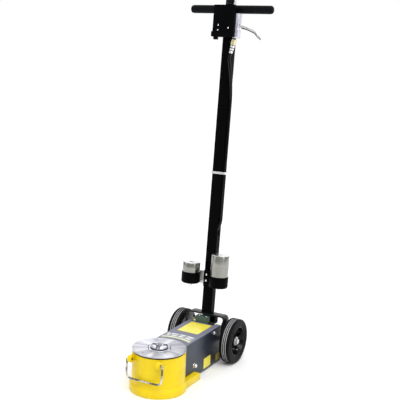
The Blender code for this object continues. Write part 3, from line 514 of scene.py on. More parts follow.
def sweep(name, route, radius, sides=5):
    """A round bar or hose along a smooth route."""
    curve = bpy.data.curves.new(name, 'CURVE')
    curve.dimensions = '3D'
    curve.bevel_depth = radius
    curve.bevel_resolution = sides
    curve.use_fill_caps = True
    spline = curve.splines.new('POLY')
    spline.points.add(len(route) - 1)
    for point, place in zip(spline.points, route):
        point.co = (*place, 1.0)
    piece = bpy.data.objects.new(name, curve)
    bpy.context.scene.collection.objects.link(piece)
    only(piece)
    bpy.ops.object.convert(target='MESH')
    piece = bpy.context.object
    edit(piece)
    merge_doubles()
    face_outwards()
    leave()
    return piece


def plate(name, outline, low, high):
    """A filled outline in XY raised into a plate between two heights."""
    piece = trace(name, [(x, y, 0) for x, y in outline])
    pick_all()
    bpy.ops.mesh.edge_face_add()
    pick_all()
    bpy.ops.transform.translate(value=(0, 0, low))
    bpy.ops.mesh.extrude_region_move(TRANSFORM_OT_translate={"value": (0, 0, high - low)})
    face_outwards()
    leave()
    return piece


def arc(centre, radius, start, stop, count):
    """Points on an arc, angles in degrees."""
    angles = [math.radians(start + (stop - start) * i / count) for i in range(count + 1)]
    return [(centre[0] + radius * math.cos(a), centre[1] + radius * math.sin(a)) for a in angles]


def rounded(corners, radius, count=8):
    """Replace each corner of a route by a curve that is tangent to both its sides."""
    route = [Vector(corners[0])]
    for before, corner, after in zip(corners, corners[1:], corners[2:]):
        before, corner, after = Vector(before), Vector(corner), Vector(after)
        reach = min(radius, (before - corner).length * 0.48, (after - corner).length * 0.48)
        start = corner + (before - corner).normalized() * reach
        stop = corner + (after - corner).normalized() * reach
        for i in range(count + 1):
            t = i / count
            route.append(start * (1 - t) ** 2 + corner * 2 * t * (1 - t) + stop * t ** 2)
    route.append(Vector(corners[-1]))
    return route


def combine(piece, tool, operation='DIFFERENCE', solver='EXACT'):
    """Cut a tool out of a piece, or join it on, and throw the tool away."""
    change = piece.modifiers.new(operation, 'BOOLEAN')
    change.operation = operation
    change.object = tool
    change.solver = solver
    only(piece)
    bpy.ops.object.modifier_apply(modifier=change.name)
    bpy.data.objects.remove(tool, do_unlink=True)
    return piece


def soften(piece, width, segments=2, angle=35):
    """Round every edge that is sharper than an angle."""
    change = piece.modifiers.new("Rounding", 'BEVEL')
    change.width = width
    change.segments = segments
    change.limit_method = 'ANGLE'
    change.angle_limit = math.radians(angle)
    change.harden_normals = False
    only(piece)
    bpy.ops.object.modifier_apply(modifier=change.name)
    return piece


def fix_at(piece, matrix):
    """Put a piece in its place and fix that in its mesh."""
    piece.matrix_world = matrix
    only(piece)
    bpy.ops.object.transform_apply(location=True, rotation=True, scale=True)
    return piece


def turn_to(piece, axis=None, at=(0, 0, 0), frame_of=GROUND, angle=0.0):
    """Turn a piece's Z axis to a direction and move it to a place."""
    turn = Vector(axis).to_track_quat('Z', 'Y').to_matrix().to_4x4() if axis else GROUND
    return fix_at(piece, frame_of @ Matrix.Translation(at) @ turn @ Matrix.Rotation(angle, 4, 'Z'))


def finish_piece(piece, body, finish, nodes=(), smooth=35):
    """Shade a piece and tell the frame what it rides on and stands for."""
    only(piece)
    bpy.ops.object.shade_smooth_by_angle(angle=math.radians(smooth))
    piece.data.materials.clear()
    piece.data.materials.append(finish.material)
    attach(piece, body)
    if nodes:
        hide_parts(*nodes)
    return piece


def copied(piece, name):
    twin = piece.copy()
    twin.data = piece.data.copy()
    twin.name = name
    bpy.context.scene.collection.objects.link(twin)
    return twin


def local_box(node):
    """A CAD node's corners in the handle's own frame."""
    back = HANDLE.inverted()
    places = [back @ vert.co for vert in frame["nodes"][node].data.vertices]
    return (Vector([min(p[i] for p in places) for i in range(3)]),
            Vector([max(p[i] for p in places) for i in range(3)]))


# ---------------------------------------------------------------- sizes, from the frame
HEAD_LOW, HEAD_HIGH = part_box("head_plate")
HEAD_R, HEAD_TOP = HEAD_HIGH.x, HEAD_HIGH.z
TUBE_LOW, TUBE_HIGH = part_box("cylinder_tube")
TUBE_R = TUBE_HIGH.x
RAM_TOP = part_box("outer_ram")[1].z
ROD_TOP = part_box("inner_ram")[1].z
BASE_LOW, BASE_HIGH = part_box("base_plate")
COVER_MIN, COVER_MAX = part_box("cover")
HEX_TURN = math.radians(34)
HEX_ACROSS = 0.0776
WINDOW_GAP = 0.0022
RIM_EDGE = 0.0045
BAIL_R = 0.0035


def hexagon(name, across, low, high):
    return turn_to(round_bar(name, across / 2 / math.cos(math.pi / 6), low, high, sides=6),
                   angle=HEX_TURN)


# ---------------------------------------------------------------- jack body
def make_base_plate():
    """The foot: a round plate that runs straight back, with a rolled lower edge."""
    half = 0.0943
    angle = math.degrees(math.acos(half / BASE_HIGH.x))
    outline = arc((0, 0), BASE_HIGH.x, -180 - angle, angle, 88)
    outline += [(half, BASE_HIGH.y), (-half, BASE_HIGH.y)]
    base = plate("base_foot", outline, BASE_LOW.z, BASE_HIGH.z)
    round_edges(base, 0.0035, 3, lambda e: max(v.co.z for v in e.verts) < 0.001)
    round_edges(base, 0.0055, 5, above(BASE_HIGH.z - 0.0001))
    finish_piece(base, "jack", YELLOW, ["base_plate"])
    weld = lathe("base_weld", [
        (TUBE_R - 0.002, BASE_HIGH.z - 0.0015), (TUBE_R - 0.002, BASE_HIGH.z + 0.0052),
        (TUBE_R + 0.0006, BASE_HIGH.z + 0.0050), (TUBE_R + 0.0021, BASE_HIGH.z + 0.0036),
        (TUBE_R + 0.0034, BASE_HIGH.z + 0.0018), (TUBE_R + 0.0042, BASE_HIGH.z - 0.0008)], 120)
    finish_piece(weld, "jack", WELD)


def make_tube():
    """The yellow cylinder, its wall closed at the top by a small painted step."""
    low, high = TUBE_LOW.z - 0.0002, TUBE_HIGH.z
    tube = lathe("cylinder_wall", [
        (TUBE_R - 0.0155, high), (TUBE_R - 0.0028, high), (TUBE_R - 0.0012, high - 0.0004),
        (TUBE_R - 0.0002, high - 0.0014), (TUBE_R, high - 0.0030), (TUBE_R, low),
        (TUBE_R - 0.0155, low)], 144)
    finish_piece(tube, "jack", YELLOW, ["cylinder_tube"])


def make_head_plate():
    """The faced head: a bright rim, a dark groove below it and a hexagonal window."""
    groove_z = HEAD_TOP - RIM_EDGE
    head = lathe("faced_head", [
        (0.0300, HEAD_TOP), (HEAD_R - 0.0058, HEAD_TOP), (HEAD_R - 0.0054, HEAD_TOP - 0.0006),
        (HEAD_R - 0.0046, HEAD_TOP - 0.0006), (HEAD_R - 0.0042, HEAD_TOP),
        (HEAD_R - 0.0016, HEAD_TOP), (HEAD_R - 0.0005, HEAD_TOP - 0.0005),
        (HEAD_R, HEAD_TOP - 0.0016), (HEAD_R, groove_z + 0.0006),
        (HEAD_R - 0.0008, groove_z), (TUBE_R - 0.0035, groove_z - 0.0004),
        (TUBE_R - 0.0035, TUBE_HIGH.z + 0.0002), (TUBE_R - 0.0160, TUBE_HIGH.z + 0.0002),
        (TUBE_R - 0.0160, HEAD_LOW.z), (0.0300, HEAD_LOW.z)], 144)
    combine(head, hexagon("window_tool", HEX_ACROSS + 2 * WINDOW_GAP, HEAD_LOW.z - 0.01,
                          HEAD_TOP + 0.01))
    reach = HEX_ACROSS / 2 + 0.007
    round_edges(head, 0.0009, 2, lambda e: all(
        v.co.z > HEAD_TOP - 0.0001 and v.co.xy.length < reach
        for v in e.verts) and e.calc_face_angle(0) > 1.0)
    lock_at = (-0.022, -0.080)
    combine(head, round_bar("lock_hole_tool", 0.0033, HEAD_TOP - 0.006, HEAD_TOP + 0.01,
                            lock_at, 24))
    finish_piece(head, "jack", HEAD_STEEL, ["head_plate"], 28)
    groove = lathe("groove_shadow", [
        (TUBE_R - 0.0034, groove_z - 0.0006), (TUBE_R - 0.0028, groove_z - 0.0006),
        (TUBE_R - 0.0028, TUBE_HIGH.z + 0.0003), (TUBE_R - 0.0034, TUBE_HIGH.z + 0.0003)], 96)
    finish_piece(groove, "jack", SEAL)
    lock = round_bar("lock_screw", 0.0031, HEAD_TOP - 0.0058, HEAD_TOP - 0.0008, lock_at, 32)
    combine(lock, round_bar("lock_key_tool", 0.0016, HEAD_TOP - 0.003, HEAD_TOP + 0.01, lock_at, 6))
    finish_piece(soften(lock, 0.0003, 2), "jack", SEAL)


def make_outer_ram():
    """The hexagonal first stage, chamfered on top, bored for the second."""
    low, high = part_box("outer_ram")
    bore, piston_top = 0.0335, low.z + 0.016
    ram = hexagon("first_stage", HEX_ACROSS, piston_top - 0.002, RAM_TOP)
    round_edges(ram, 0.0020, 2, above(RAM_TOP - 0.0001))
    soften(ram, 0.0009, 2, 50)
    combine(ram, lathe("piston", [
        (0.020, piston_top), (high.x - 0.001, piston_top), (high.x, piston_top - 0.001),
        (high.x, low.z + 0.0110), (high.x - 0.0036, low.z + 0.0110),
        (high.x - 0.0036, low.z + 0.0050), (high.x, low.z + 0.0050),
        (high.x, low.z + 0.001), (high.x - 0.001, low.z), (0.020, low.z)], 96), 'UNION')
    combine(ram, lathe("bore_tool", [
        (0.0001, RAM_TOP + 0.02), (bore + 0.012, RAM_TOP + 0.0100), (bore, RAM_TOP - 0.0008),
        (bore, RAM_TOP - 0.0170), (bore + 0.003, RAM_TOP - 0.0190),
        (bore + 0.003, low.z + 0.0063), (0.0001, low.z + 0.0063)], 96))
    finish_piece(ram, "outer_ram", RAM_STEEL, ["outer_ram"], 25)


def make_inner_ram():
    """The honed second stage with its piston rings, hollow for the saddle's stem."""
    low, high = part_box("inner_ram")
    rod, piston, top = 0.0325, high.x, ROD_TOP
    ram = lathe("second_stage", [
        (0.0152, top - 0.001), (0.0162, top), (rod - 0.0012, top), (rod, top - 0.0012),
        (rod, low.z + 0.0120), (piston, low.z + 0.0120), (piston, low.z + 0.0090),
        (rod, low.z + 0.0090), (rod, low.z + 0.0040), (piston, low.z + 0.0040),
        (piston, low.z), (0.0152, low.z)], 96)
    finish_piece(ram, "inner_ram", HONED, ["inner_ram"])


def make_saddle():
    """The lobed swivel saddle: crossed slots and a dished middle, every edge rounded."""
    low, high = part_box("saddle")
    crown, seat, radius, slot = CROWN, ROD_TOP + 0.0003, high.x, 0.0170
    saddle = lathe("swivel_saddle", [
        (0.0001, crown), (radius - 0.0030, crown), (radius, crown - 0.0032),
        (radius, seat + 0.0006), (radius - 0.0006, seat), (0.0148, seat), (0.0148, low.z + 0.001),
        (0.0138, low.z), (0.0001, low.z)], 96)
    for quarter in range(2):
        tool = bar("slot_tool", (-0.04, -slot / 2, crown - 0.0085), (0.04, slot / 2, crown + 0.02))
        turn_to(tool, angle=math.radians(20 + 90 * quarter))
        combine(saddle, tool)
    combine(saddle, lathe("dish_tool", [
        (0.0001, crown + 0.01), (0.0200, crown + 0.01), (0.0165, crown - 0.0030),
        (0.0135, crown - 0.0089), (0.0001, crown - 0.0095)], 64))
    soften(saddle, 0.0009, 3, 32)
    finish_piece(saddle, "saddle", SADDLE_STEEL, ["saddle"], 40)


def make_bail():
    """The bent chrome carry bail and the two looped ears that it swings in."""
    pivot = Vector(JOINTS["bail_swing"]["pos_m"])
    low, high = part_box("carry_bail")
    lug_low, lug_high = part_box("bail_lug_right")
    lug_x, lug_half = (lug_low.x + lug_high.x) / 2, (lug_high.x - lug_low.x) / 2
    pins, half = lug_low.x - 0.0025, high.x - BAIL_R
    foot_y, foot_z = low.y + BAIL_R, low.z + BAIL_R
    corners = [(-pins, pivot.y, pivot.z), (-half, pivot.y, pivot.z), (-half, foot_y, foot_z),
               (half, foot_y, foot_z), (half, pivot.y, pivot.z), (pins, pivot.y, pivot.z)]
    route = [Vector(corners[0])]
    for first, second, third, bend in ((0, 1, 2, 0.0065), (1, 2, 3, 0.022), (2, 3, 4, 0.022),
                                       (3, 4, 5, 0.0065)):
        route += rounded([corners[first], corners[second], corners[third]], bend, 10)[1:-1]
    route.append(Vector(corners[-1]))
    bail = sweep("bail_rod", route, BAIL_R, 6)
    soften(bail, 0.0008, 2, 60)
    finish_piece(bail, "carry_bail", BAIL_STEEL, ["carry_bail"], 50)

    ear_z, ear_y = pivot.z, pivot.y
    outline = [(0.030, -0.0105), (0.030, 0.0105)] + arc((0, 0), 0.013, 54, 306, 28)
    for side, word in ((-1, "left"), (1, "right")):
        ear = plate("bail_ear_" + word, outline, -lug_half, lug_half)
        fix_at(ear, Matrix.Translation((side * lug_x, ear_y, ear_z)) @ UPRIGHT)
        eye = round_bar("eye_tool", BAIL_R + 0.0005, -0.02, 0.02, sides=32)
        combine(ear, turn_to(eye, (1, 0, 0), (side * lug_x, ear_y, ear_z)))
        combine(ear, round_bar("tube_tool", TUBE_R - 0.0006, 0.05, 0.2, sides=144))
        soften(ear, 0.0014, 3, 40)
        finish_piece(ear, "jack", YELLOW, ["bail_lug_" + word], 45)


# ---------------------------------------------------------------- carriage cover
def cover_shell():
    """The folded sheet cover: a channel with rounded shoulders, open at the back."""
    half, top, inner = COVER_MAX.x, COVER_MAX.z, COVER_MAX.x - 0.002
    shell = bar("cover_sheet", (-half, 0.02, COVER_MIN.z), (half, COVER_MAX.y, top))
    shoulders = above(top - 0.0001)
    round_edges(shell, 0.0045, 6, lambda e: shoulders(e) and spans(e, 0) < 0.0001)
    combine(shell, bar("hollow_tool", (-inner, -0.05, -0.05),
                       (inner, COVER_MAX.y + 0.05, top - 0.002)))
    combine(shell, round_bar("tube_clearance", HEAD_R + 0.0010, -0.02, 0.2, sides=144))
    combine(shell, bar("step_tool", (-0.1, -0.1, -0.02),
                       (0.1, BASE_HIGH.y + 0.0015, BASE_HIGH.z + 0.0003)))
    notch = bar("notch_tool", (-0.059, COVER_MAX.y - 0.020, 0.12),
                (0.049, COVER_MAX.y + 0.02, 0.2))
    round_edges(notch, 0.006, 5, lambda e: spans(e, 2) > 0.05)
    combine(shell, notch)
    soften(shell, 0.0005, 2, 40)
    return shell


def make_arc_bands(base):
    """Plain curved trim films that follow the round head, with pale blocks in the outer one."""
    half = 0.0610
    for word, near, far, finish, level in (
            ("edge", 0.1270, 0.1430, BAND_GREEN, 0), ("inner", 0.1318, 0.1392, BAND_WHITE, 1),
            ("line", 0.1430, 0.1452, BAND_DARK, 0), ("outer", 0.1452, 0.1785, BAND_PALE, 0),
            ("rule", 0.1600, 0.1618, BAND_DARK, 1)):
        near_angle = math.degrees(math.acos(half / near))
        far_angle = math.degrees(math.acos(half / far))
        outline = arc((0, 0), near, 180 - near_angle, near_angle, 30)
        outline += arc((0, 0), far, far_angle, 180 - far_angle, 30)
        lift = base + level * 0.0003
        finish_piece(plate("arc_band_" + word, outline, lift, lift + 0.00030), "jack", finish)
    for row, (near, far) in enumerate(((0.1480, 0.1580), (0.1640, 0.1745))):
        for block, (start, stop) in enumerate(((72, 81), (85, 92), (95, 104), (106, 110))):
            outline = arc((0, 0), near, stop, start, 8) + arc((0, 0), far, start, stop, 8)
            finish_piece(plate("arc_block_%d_%d" % (row, block), outline, base + 0.0003,
                               base + 0.0006), "jack", BAND_WHITE)


def make_cover():
    finish_piece(cover_shell(), "jack", SLATE, ["cover"], 30)
    top = COVER_MAX.z
    label = plate("top_label", [(-0.045, 0.2115), (0.045, 0.2115), (0.045, 0.330),
                                (-0.045, 0.330)], top + 0.00005, top + 0.00040)
    round_edges(label, 0.003, 4, lambda e: spans(e, 2) > 0.0002)
    finish_piece(label, "jack", LABEL)

    make_arc_bands(top + 0.00005)
    side = COVER_MAX.x + 0.00005
    # The rear side label takes the darker colours of the painted wheel shadow.
    for word, finish, y0, y1, z0, z1 in (("front", LABEL, 0.223, 0.279, 0.012, 0.053),
                                         ("rear", LABEL_WHEEL_SHADOW, 0.325, 0.358, 0.010, 0.041)):
        card = bar("side_label_" + word, (side, y0, z0), (side + 0.00035, y1, z1))
        round_edges(card, 0.003, 4, lambda e: spans(e, 0) > 0.0002)
        finish_piece(card, "jack", finish)


def make_cover_screws():
    """Domed cap nuts on flat washers, tall in front and low behind."""
    for place in ("front", "rear"):
        low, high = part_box("cover_screw_right_" + place)
        tall, wide = high.x - COVER_MAX.x, (high.z - low.z) / 2
        radius = wide - 0.0015
        nut = lathe("cap_nut", [
            (0.0001, tall), (radius * 0.30, tall * 0.985), (radius * 0.55, tall * 0.93),
            (radius * 0.76, tall * 0.84), (radius * 0.88, tall * 0.72), (radius * 0.90, tall * 0.60),
            (radius, tall * 0.56), (radius, 0.0014), (wide - 0.0002, 0.0013), (wide, 0.0010),
            (wide, FIT), (0.0024, FIT), (0.0024, -0.0060), (0.0001, -0.0060)], 48)
        for side, word in ((-1, "left"), (1, "right")):
            node = "cover_screw_%s_%s" % (word, place)
            head = turn_to(copied(nut, node + "_cap"), (side, 0, 0), (
                side * COVER_MAX.x, (low.y + high.y) / 2, (low.z + high.z) / 2))
            finish_piece(head, "jack", CHROME, [node], 30)
        bpy.data.objects.remove(nut, do_unlink=True)


def make_manifold():
    """The ported valve block behind the cover, with two plugs on top."""
    low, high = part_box("valve_manifold")
    top, row = low.z + 0.0735, low.y + 0.0070
    block = soften(bar("ported_manifold", low, (high.x, high.y, top)), 0.0015, 3)
    for index, x in enumerate((-0.021, 0.009)):
        combine(block, round_bar("port_tool", 0.0056, top - 0.0015, top + 0.01, (x, row), 32))
        plug = round_bar("port_plug_%d" % (index + 1), 0.0048, top - 0.0014, top + 0.0030,
                         (x, row), 6)
        finish_piece(soften(plug, 0.0007, 2), "jack", CHROME)
    finish_piece(block, "jack", GREEN_LIGHT, ["valve_manifold"])


# ---------------------------------------------------------------- wheels
def wheel_to(piece, side):
    """Put a wheel piece, modelled along Z, on the axle on one side."""
    return turn_to(piece, (side, 0, 0), AXLE)


def tyre_profile(radius, outer, inner, seat):
    """Section of the tyre: ringed sidewalls, round shoulders and four tread ribs."""
    shoulder, groove = 0.0075, 0.0032
    low, high = inner + shoulder, outer - shoulder
    wall = [(seat + 0.0004, outer - 0.0030), (seat + 0.0016, outer - 0.0010)]
    for ring in (seat + 0.0055, seat + 0.0105, seat + 0.0155):
        wall += [(ring - 0.0008, outer - 0.0004), (ring, outer), (ring + 0.0008, outer - 0.0004),
                 (ring + 0.0022, outer - 0.0009)]
    points = list(wall)
    points += [(radius - shoulder + shoulder * math.sin(math.radians(a)),
                high + shoulder * math.cos(math.radians(a))) for a in range(20, 90, 14)]
    pitch = (high - low) / 4
    for rib in range(4):
        top = high - rib * pitch
        if rib:
            points += [(radius - groove, top + 0.0011), (radius - groove, top - 0.0011)]
        start = top - 0.0019 if rib else top
        stop = top - pitch + (0.0019 if rib < 3 else 0.0)
        points += [(radius - 0.0005, start), (radius, start - 0.0007),
                   (radius, stop + 0.0007), (radius - 0.0005, stop)]
    points += [(radius - shoulder + shoulder * math.cos(math.radians(a)),
                low - shoulder * math.sin(math.radians(a))) for a in range(8, 90, 14)]
    points += [(r, outer + inner - z) for r, z in reversed(wall)]
    return points


def make_wheels():
    low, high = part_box("tyre_right")
    radius, outer, inner = AXLE.z, high.x, low.x
    hub_low, hub_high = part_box("hub_right")
    rim, boss_in = hub_high.z - AXLE.z - 0.0003, hub_low.x
    tyre = lathe("ribbed_tyre", tyre_profile(radius, outer, inner, rim + 0.0003), 120)
    hub = lathe("dished_hub", [
        (0.0104, 0.1282), (0.0188, 0.1282), (0.0200, 0.1274), (0.0212, 0.1252),
        (0.0222, 0.1190), (0.0240, 0.1166), (0.0262, 0.1160), (0.0500, 0.1160),
        (0.0526, 0.1168), (0.0540, 0.1190), (0.0558, 0.1366), (0.0570, 0.1384),
        (0.0588, 0.1388), (0.0602, 0.1382), (rim, 0.1366), (rim, inner + 0.0030),
        (0.0590, inner + 0.0026), (0.0562, inner + 0.0034), (0.0540, 0.1090),
        (0.0230, 0.1090), (0.0200, boss_in), (0.0104, boss_in)], 120)
    spoke = bar("hub_rib", (0.0205, -0.0016, 0.1150), (0.0545, 0.0016, 0.1215))
    round_edges(spoke, 0.0009, 2, above(0.1210))
    for index in range(6):
        rib = copied(spoke, "hub_rib_copy")
        turn_to(rib, angle=math.radians(60 * index + 12))
        combine(hub, rib, 'UNION')
    bpy.data.objects.remove(spoke, do_unlink=True)
    washer = lathe("plain_washer", [
        (0.0104, 0.1286), (0.0104, 0.1310), (0.0158, 0.1310), (0.0165, 0.1304),
        (0.0165, 0.1292), (0.0158, 0.1286)], 64)
    for side, word in ((-1, "left"), (1, "right")):
        for source, finish, slot, part, body in (
                (tyre, TYRE, "tyre_rubber", "tyre_", "wheel_" + word),
                (hub, HUB, "hub_plastic", "hub_", "wheel_" + word),
                (washer, WASHER_STEEL, "zinc_plate", "axle_washer_", "jack")):
            piece = wheel_to(copied(source, part + word + "_turned"), side)
            finish_piece(piece, body, finish, [part + word], 32)
        make_axle_end(side, word)
        nipple = lathe("grease_nipple", [
            (0.0001, 0.0120), (0.0016, 0.0118), (0.0026, 0.0104), (0.0026, 0.0090), (0.0018, 0.0080),
            (0.0018, 0.0066), (0.0036, 0.0060), (0.0036, 0.0), (0.0001, 0.0)], 24)
        turn_to(nipple, (side, 0, 0), (side * 0.1164, AXLE.y + 0.0236, AXLE.z - 0.0449))
        nipple.name = "grease_nipple_" + word
        finish_piece(nipple, "wheel_" + word, CHROME)
    for source in (tyre, hub, washer):
        bpy.data.objects.remove(source, do_unlink=True)
    low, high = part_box("axle")
    axle = lathe("axle_shaft", [
        (0.0001, high.x), (0.0088, high.x), (0.0100, high.x - 0.0012), (0.0100, low.x + 0.0012),
        (0.0088, low.x), (0.0001, low.x)], 48)
    turn_to(axle, (1, 0, 0), AXLE)
    finish_piece(axle, "jack", ZINC, ["axle"])


def make_axle_end(side, word):
    """A split pin: two legs side by side, spread at the foot, with a round eye on top."""
    x = side * 0.1345
    legs = []
    for lean in (-1, 1):
        legs.append(sweep("split_leg", [
            (x, AXLE.y + lean * 0.0008, AXLE.z + 0.0140), (x, AXLE.y + lean * 0.0008, AXLE.z),
            (x, AXLE.y + lean * 0.0009, AXLE.z - 0.0105),
            (x, AXLE.y + lean * 0.0026, AXLE.z - 0.0142)], 0.0008, 3))
    clear_picks()
    bpy.ops.mesh.primitive_torus_add(
        major_segments=24, minor_segments=8, major_radius=0.0024, minor_radius=0.0008,
        location=(x, AXLE.y, AXLE.z + 0.0158), rotation=(0, math.pi / 2, 0))
    eye = adopt("split_eye")
    clear_picks()
    for piece in (*legs, eye):
        piece.select_set(True)
    bpy.context.view_layer.objects.active = eye
    bpy.ops.object.join()
    fix_at(eye, eye.matrix_world.copy())
    eye.name = "split_pin_" + word + "_bent"
    finish_piece(eye, "jack", CHROME, ["split_pin_" + word], 50)


# ---------------------------------------------------------------- handle
FITTING_END, FITTING_TOP = Vector((0.0222, -0.0378, 1.1290)), Vector((0.0350, -0.0370, 1.1868))


def make_yoke():
    """The bent strap that hangs on the axle and carries the pole."""
    low, high = local_box("yoke")
    outer, thick, bend = high.x, 0.006, 0.016
    outline = [(-outer, low.z)]
    outline += arc((-outer + bend, high.z - bend), bend, 180, 90, 12)
    outline += arc((outer - bend, high.z - bend), bend, 90, 0, 12)
    outline += [(outer, low.z), (outer - thick, low.z)]
    outline += arc((outer - bend, high.z - bend), bend - thick, 0, 90, 12)
    outline += arc((-outer + bend, high.z - bend), bend - thick, 90, 180, 12)
    outline += [(-outer + thick, low.z)]
    yoke = plate("yoke_strap", outline, -high.y, -low.y)
    fix_at(yoke, Matrix.Rotation(math.pi / 2, 4, 'X'))
    relief = [(-0.030, 0.110), (-0.030, 0.079), (low.y, 0.067), (low.y - 0.01, 0.067),
              (low.y - 0.01, 0.110)]
    combine(yoke, fix_at(plate("relief_tool", relief, -0.1, 0.1), UPRIGHT))
    fix_at(yoke, HANDLE)
    bore = round_bar("yoke_bore_tool", 0.0103, -0.1, 0.1, sides=48)
    combine(yoke, turn_to(bore, (1, 0, 0), AXLE))
    soften(yoke, 0.0012, 3, 50)
    finish_piece(yoke, "handle", GREEN, ["yoke"])


def make_pole():
    """Rectangular tube with rolled corners, slotted where the hose goes inside."""
    low, high = local_box("pole")
    pole = bar("square_pole", low, high)
    round_edges(pole, 0.0032, 5, lambda e: spans(e, 2) > 0.5)
    wall = 0.0025
    combine(pole, bar("pole_hollow", (low.x + wall, low.y + wall, low.z - 0.01),
                      (high.x - wall, high.y - wall, high.z - 0.02)))
    gland_low, gland_high = local_box("hose_gland")
    middle = (gland_low + gland_high) / 2
    width, tall = gland_high.y - gland_low.y + 0.0003, gland_high.z - gland_low.z + 0.0003
    slot = arc((0, tall / 2 - width / 2), width / 2, 0, 180, 16)
    slot += arc((0, width / 2 - tall / 2), width / 2, 180, 360, 16)
    tool = plate("slot_tool", slot, -0.004, 0.004)
    combine(pole, fix_at(tool, Matrix.Translation(middle) @ UPRIGHT))
    turn_to(pole, frame_of=HANDLE)
    finish_piece(pole, "handle", BLACK, ["pole"])


def make_pole_foot():
    low, high = local_box("pole_foot")
    foot = bar("welded_foot", low, high)
    soften(foot, 0.0030, 3)
    notch = turn_to(round_bar("foot_bore", 0.0045, -0.05, 0.05, sides=32), (1, 0, 0),
                    (0, (low.y + high.y) / 2, low.z + 0.012))
    combine(foot, notch)
    turn_to(foot, frame_of=HANDLE)
    finish_piece(foot, "handle", BLACK, ["pole_foot"])


def cup_of(word):
    low, high = local_box("cup_" + word)
    return (low.x + high.x) / 2, (low.y + high.y) / 2, low.z, high.z, (high.x - low.x) / 2


def make_cups():
    """Pressed cups with a rolled foot and lip; the adapters stand in them."""
    for word in ("short", "tall"):
        x, y, low, high, radius = cup_of(word)
        inside = radius - 0.0018
        cup = lathe("pressed_cup", [
            (radius - 0.0004, high - low), (radius, high - low - 0.0005), (radius, 0.0090),
            (radius - 0.0006, 0.0058), (radius - 0.0022, 0.0028), (radius - 0.0046, 0.0009),
            (radius - 0.0080, 0.0), (0.0044, 0.0), (0.0044, 0.0030), (inside, 0.0030),
            (inside, high - low - 0.0005), (inside + 0.0005, high - low)], 96)
        turn_to(cup, at=(x, y, low), frame_of=HANDLE)
        finish_piece(cup, "handle", BLACK, ["cup_" + word])
        make_adapter(word, x, y)
        nut = round_bar("stud_nut", 0.0086, -0.0112, -0.0003, sides=6)
        round_edges(nut, 0.0008, 2, lambda e: spans(e, 2) < 0.0001)
        combine(nut, round_bar("stud_thread", 0.0040, -0.0165, 0.0109, sides=24), 'UNION')
        soften(nut, 0.0004, 2, 45)
        turn_to(nut, at=(x, y, low), frame_of=HANDLE)
        nut.name = "stud_" + word
        finish_piece(nut, "handle", CHROME, ["cup_stud_" + word])


def make_adapter(word, x, y):
    """A turned adapter: chamfered shoulders, a fine turning step and a bored centre."""
    low, high = local_box("adapter_" + word)
    radius, tall = (high.x - low.x) / 2, high.z - low.z
    hole = 0.0085 if word == "short" else 0.0060
    adapter = lathe("turned_adapter", [
        (hole, 0.0), (hole, tall - 0.0014), (hole + 0.0014, tall), (radius - 0.0024, tall),
        (radius - 0.0006, tall - 0.0012), (radius, tall - 0.0024), (radius, tall * 0.72),
        (radius - 0.0004, tall * 0.72 - 0.0004), (radius - 0.0004, tall * 0.72 - 0.0016),
        (radius, tall * 0.72 - 0.0020), (radius, 0.0016), (radius - 0.0016, 0.0)], 96)
    turn_to(adapter, at=(x, y, low.z), frame_of=HANDLE)
    finish_piece(adapter, "adapter_" + word, ADAPTER_ZINC, ["adapter_" + word], 28)


def make_bracket():
    low, high = local_box("cup_bracket")
    bracket = bar("bolted_bracket", low, high)
    soften(bracket, 0.0018, 3)
    combine(bracket, bar("strip_slot", (-0.05, -0.0408, 0.2147), (0.05, -0.0362, 0.2698)))
    turn_to(bracket, frame_of=HANDLE)
    finish_piece(bracket, "handle", BLACK, ["cup_bracket"])
    for place in ("upper", "lower"):
        low, high = local_box("bracket_bolt_" + place)
        at = (0, low.y + 0.0042, (low.z + high.z) / 2)
        bolt = lathe("round_head_bolt", [
            (0.0001, 0.0042), (0.0018, 0.0040), (0.0034, 0.0031), (0.0045, 0.0018),
            (0.0048, 0.0003), (0.0024, 0.0003), (0.0024, -0.0060), (0.0001, -0.0060)], 32)
        combine(bolt, round_bar("key_tool", 0.0016, 0.0020, 0.006, sides=6))
        turn_to(bolt, (0, -1, 0), at, HANDLE)
        bolt.name = "bolt_" + place
        finish_piece(bolt, "handle", CHROME, ["bracket_bolt_" + place])


def make_hose():
    """The air hose: out of its ferrule, down the pole's right side and in at the gland."""
    low = local_box("air_hose")[0]
    pole_high = local_box("pole")[1]
    gland_low, gland_high = local_box("hose_gland")
    radius = 0.006
    side_x = pole_high.x + radius + 0.0006
    hose_y = (gland_low.y + gland_high.y) / 2
    along = (FITTING_TOP - FITTING_END).normalized()
    entry, inside_x = 0.4450, 0.0020
    corners = [FITTING_END - along * FIT, FITTING_END - along * 0.020, (0.0235, -0.0378, 1.0850),
               (0.0285, -0.0335, 1.0450), (side_x, -0.0215, 1.0050), (side_x, hose_y, 0.9600),
               (side_x, hose_y, 0.7000), (side_x, hose_y, entry + 0.020),
               (0.0100, hose_y, entry - 0.015), (inside_x, hose_y, entry - 0.050),
               (inside_x, hose_y, 0.3000), (inside_x, hose_y, low.z)]
    route = rounded(corners, 0.030, 8)
    hose = sweep("air_line", route, radius, 7)
    turn_to(hose, frame_of=HANDLE)
    finish_piece(hose, "handle", HOSE, ["air_hose"], 60)


def paint_kept(nodes, finish):
    """CAD parts whose shape is right already keep it and get a finish."""
    for name in nodes:
        node = frame["nodes"][name]
        node.data.materials.clear()
        node.data.materials.append(finish.material)


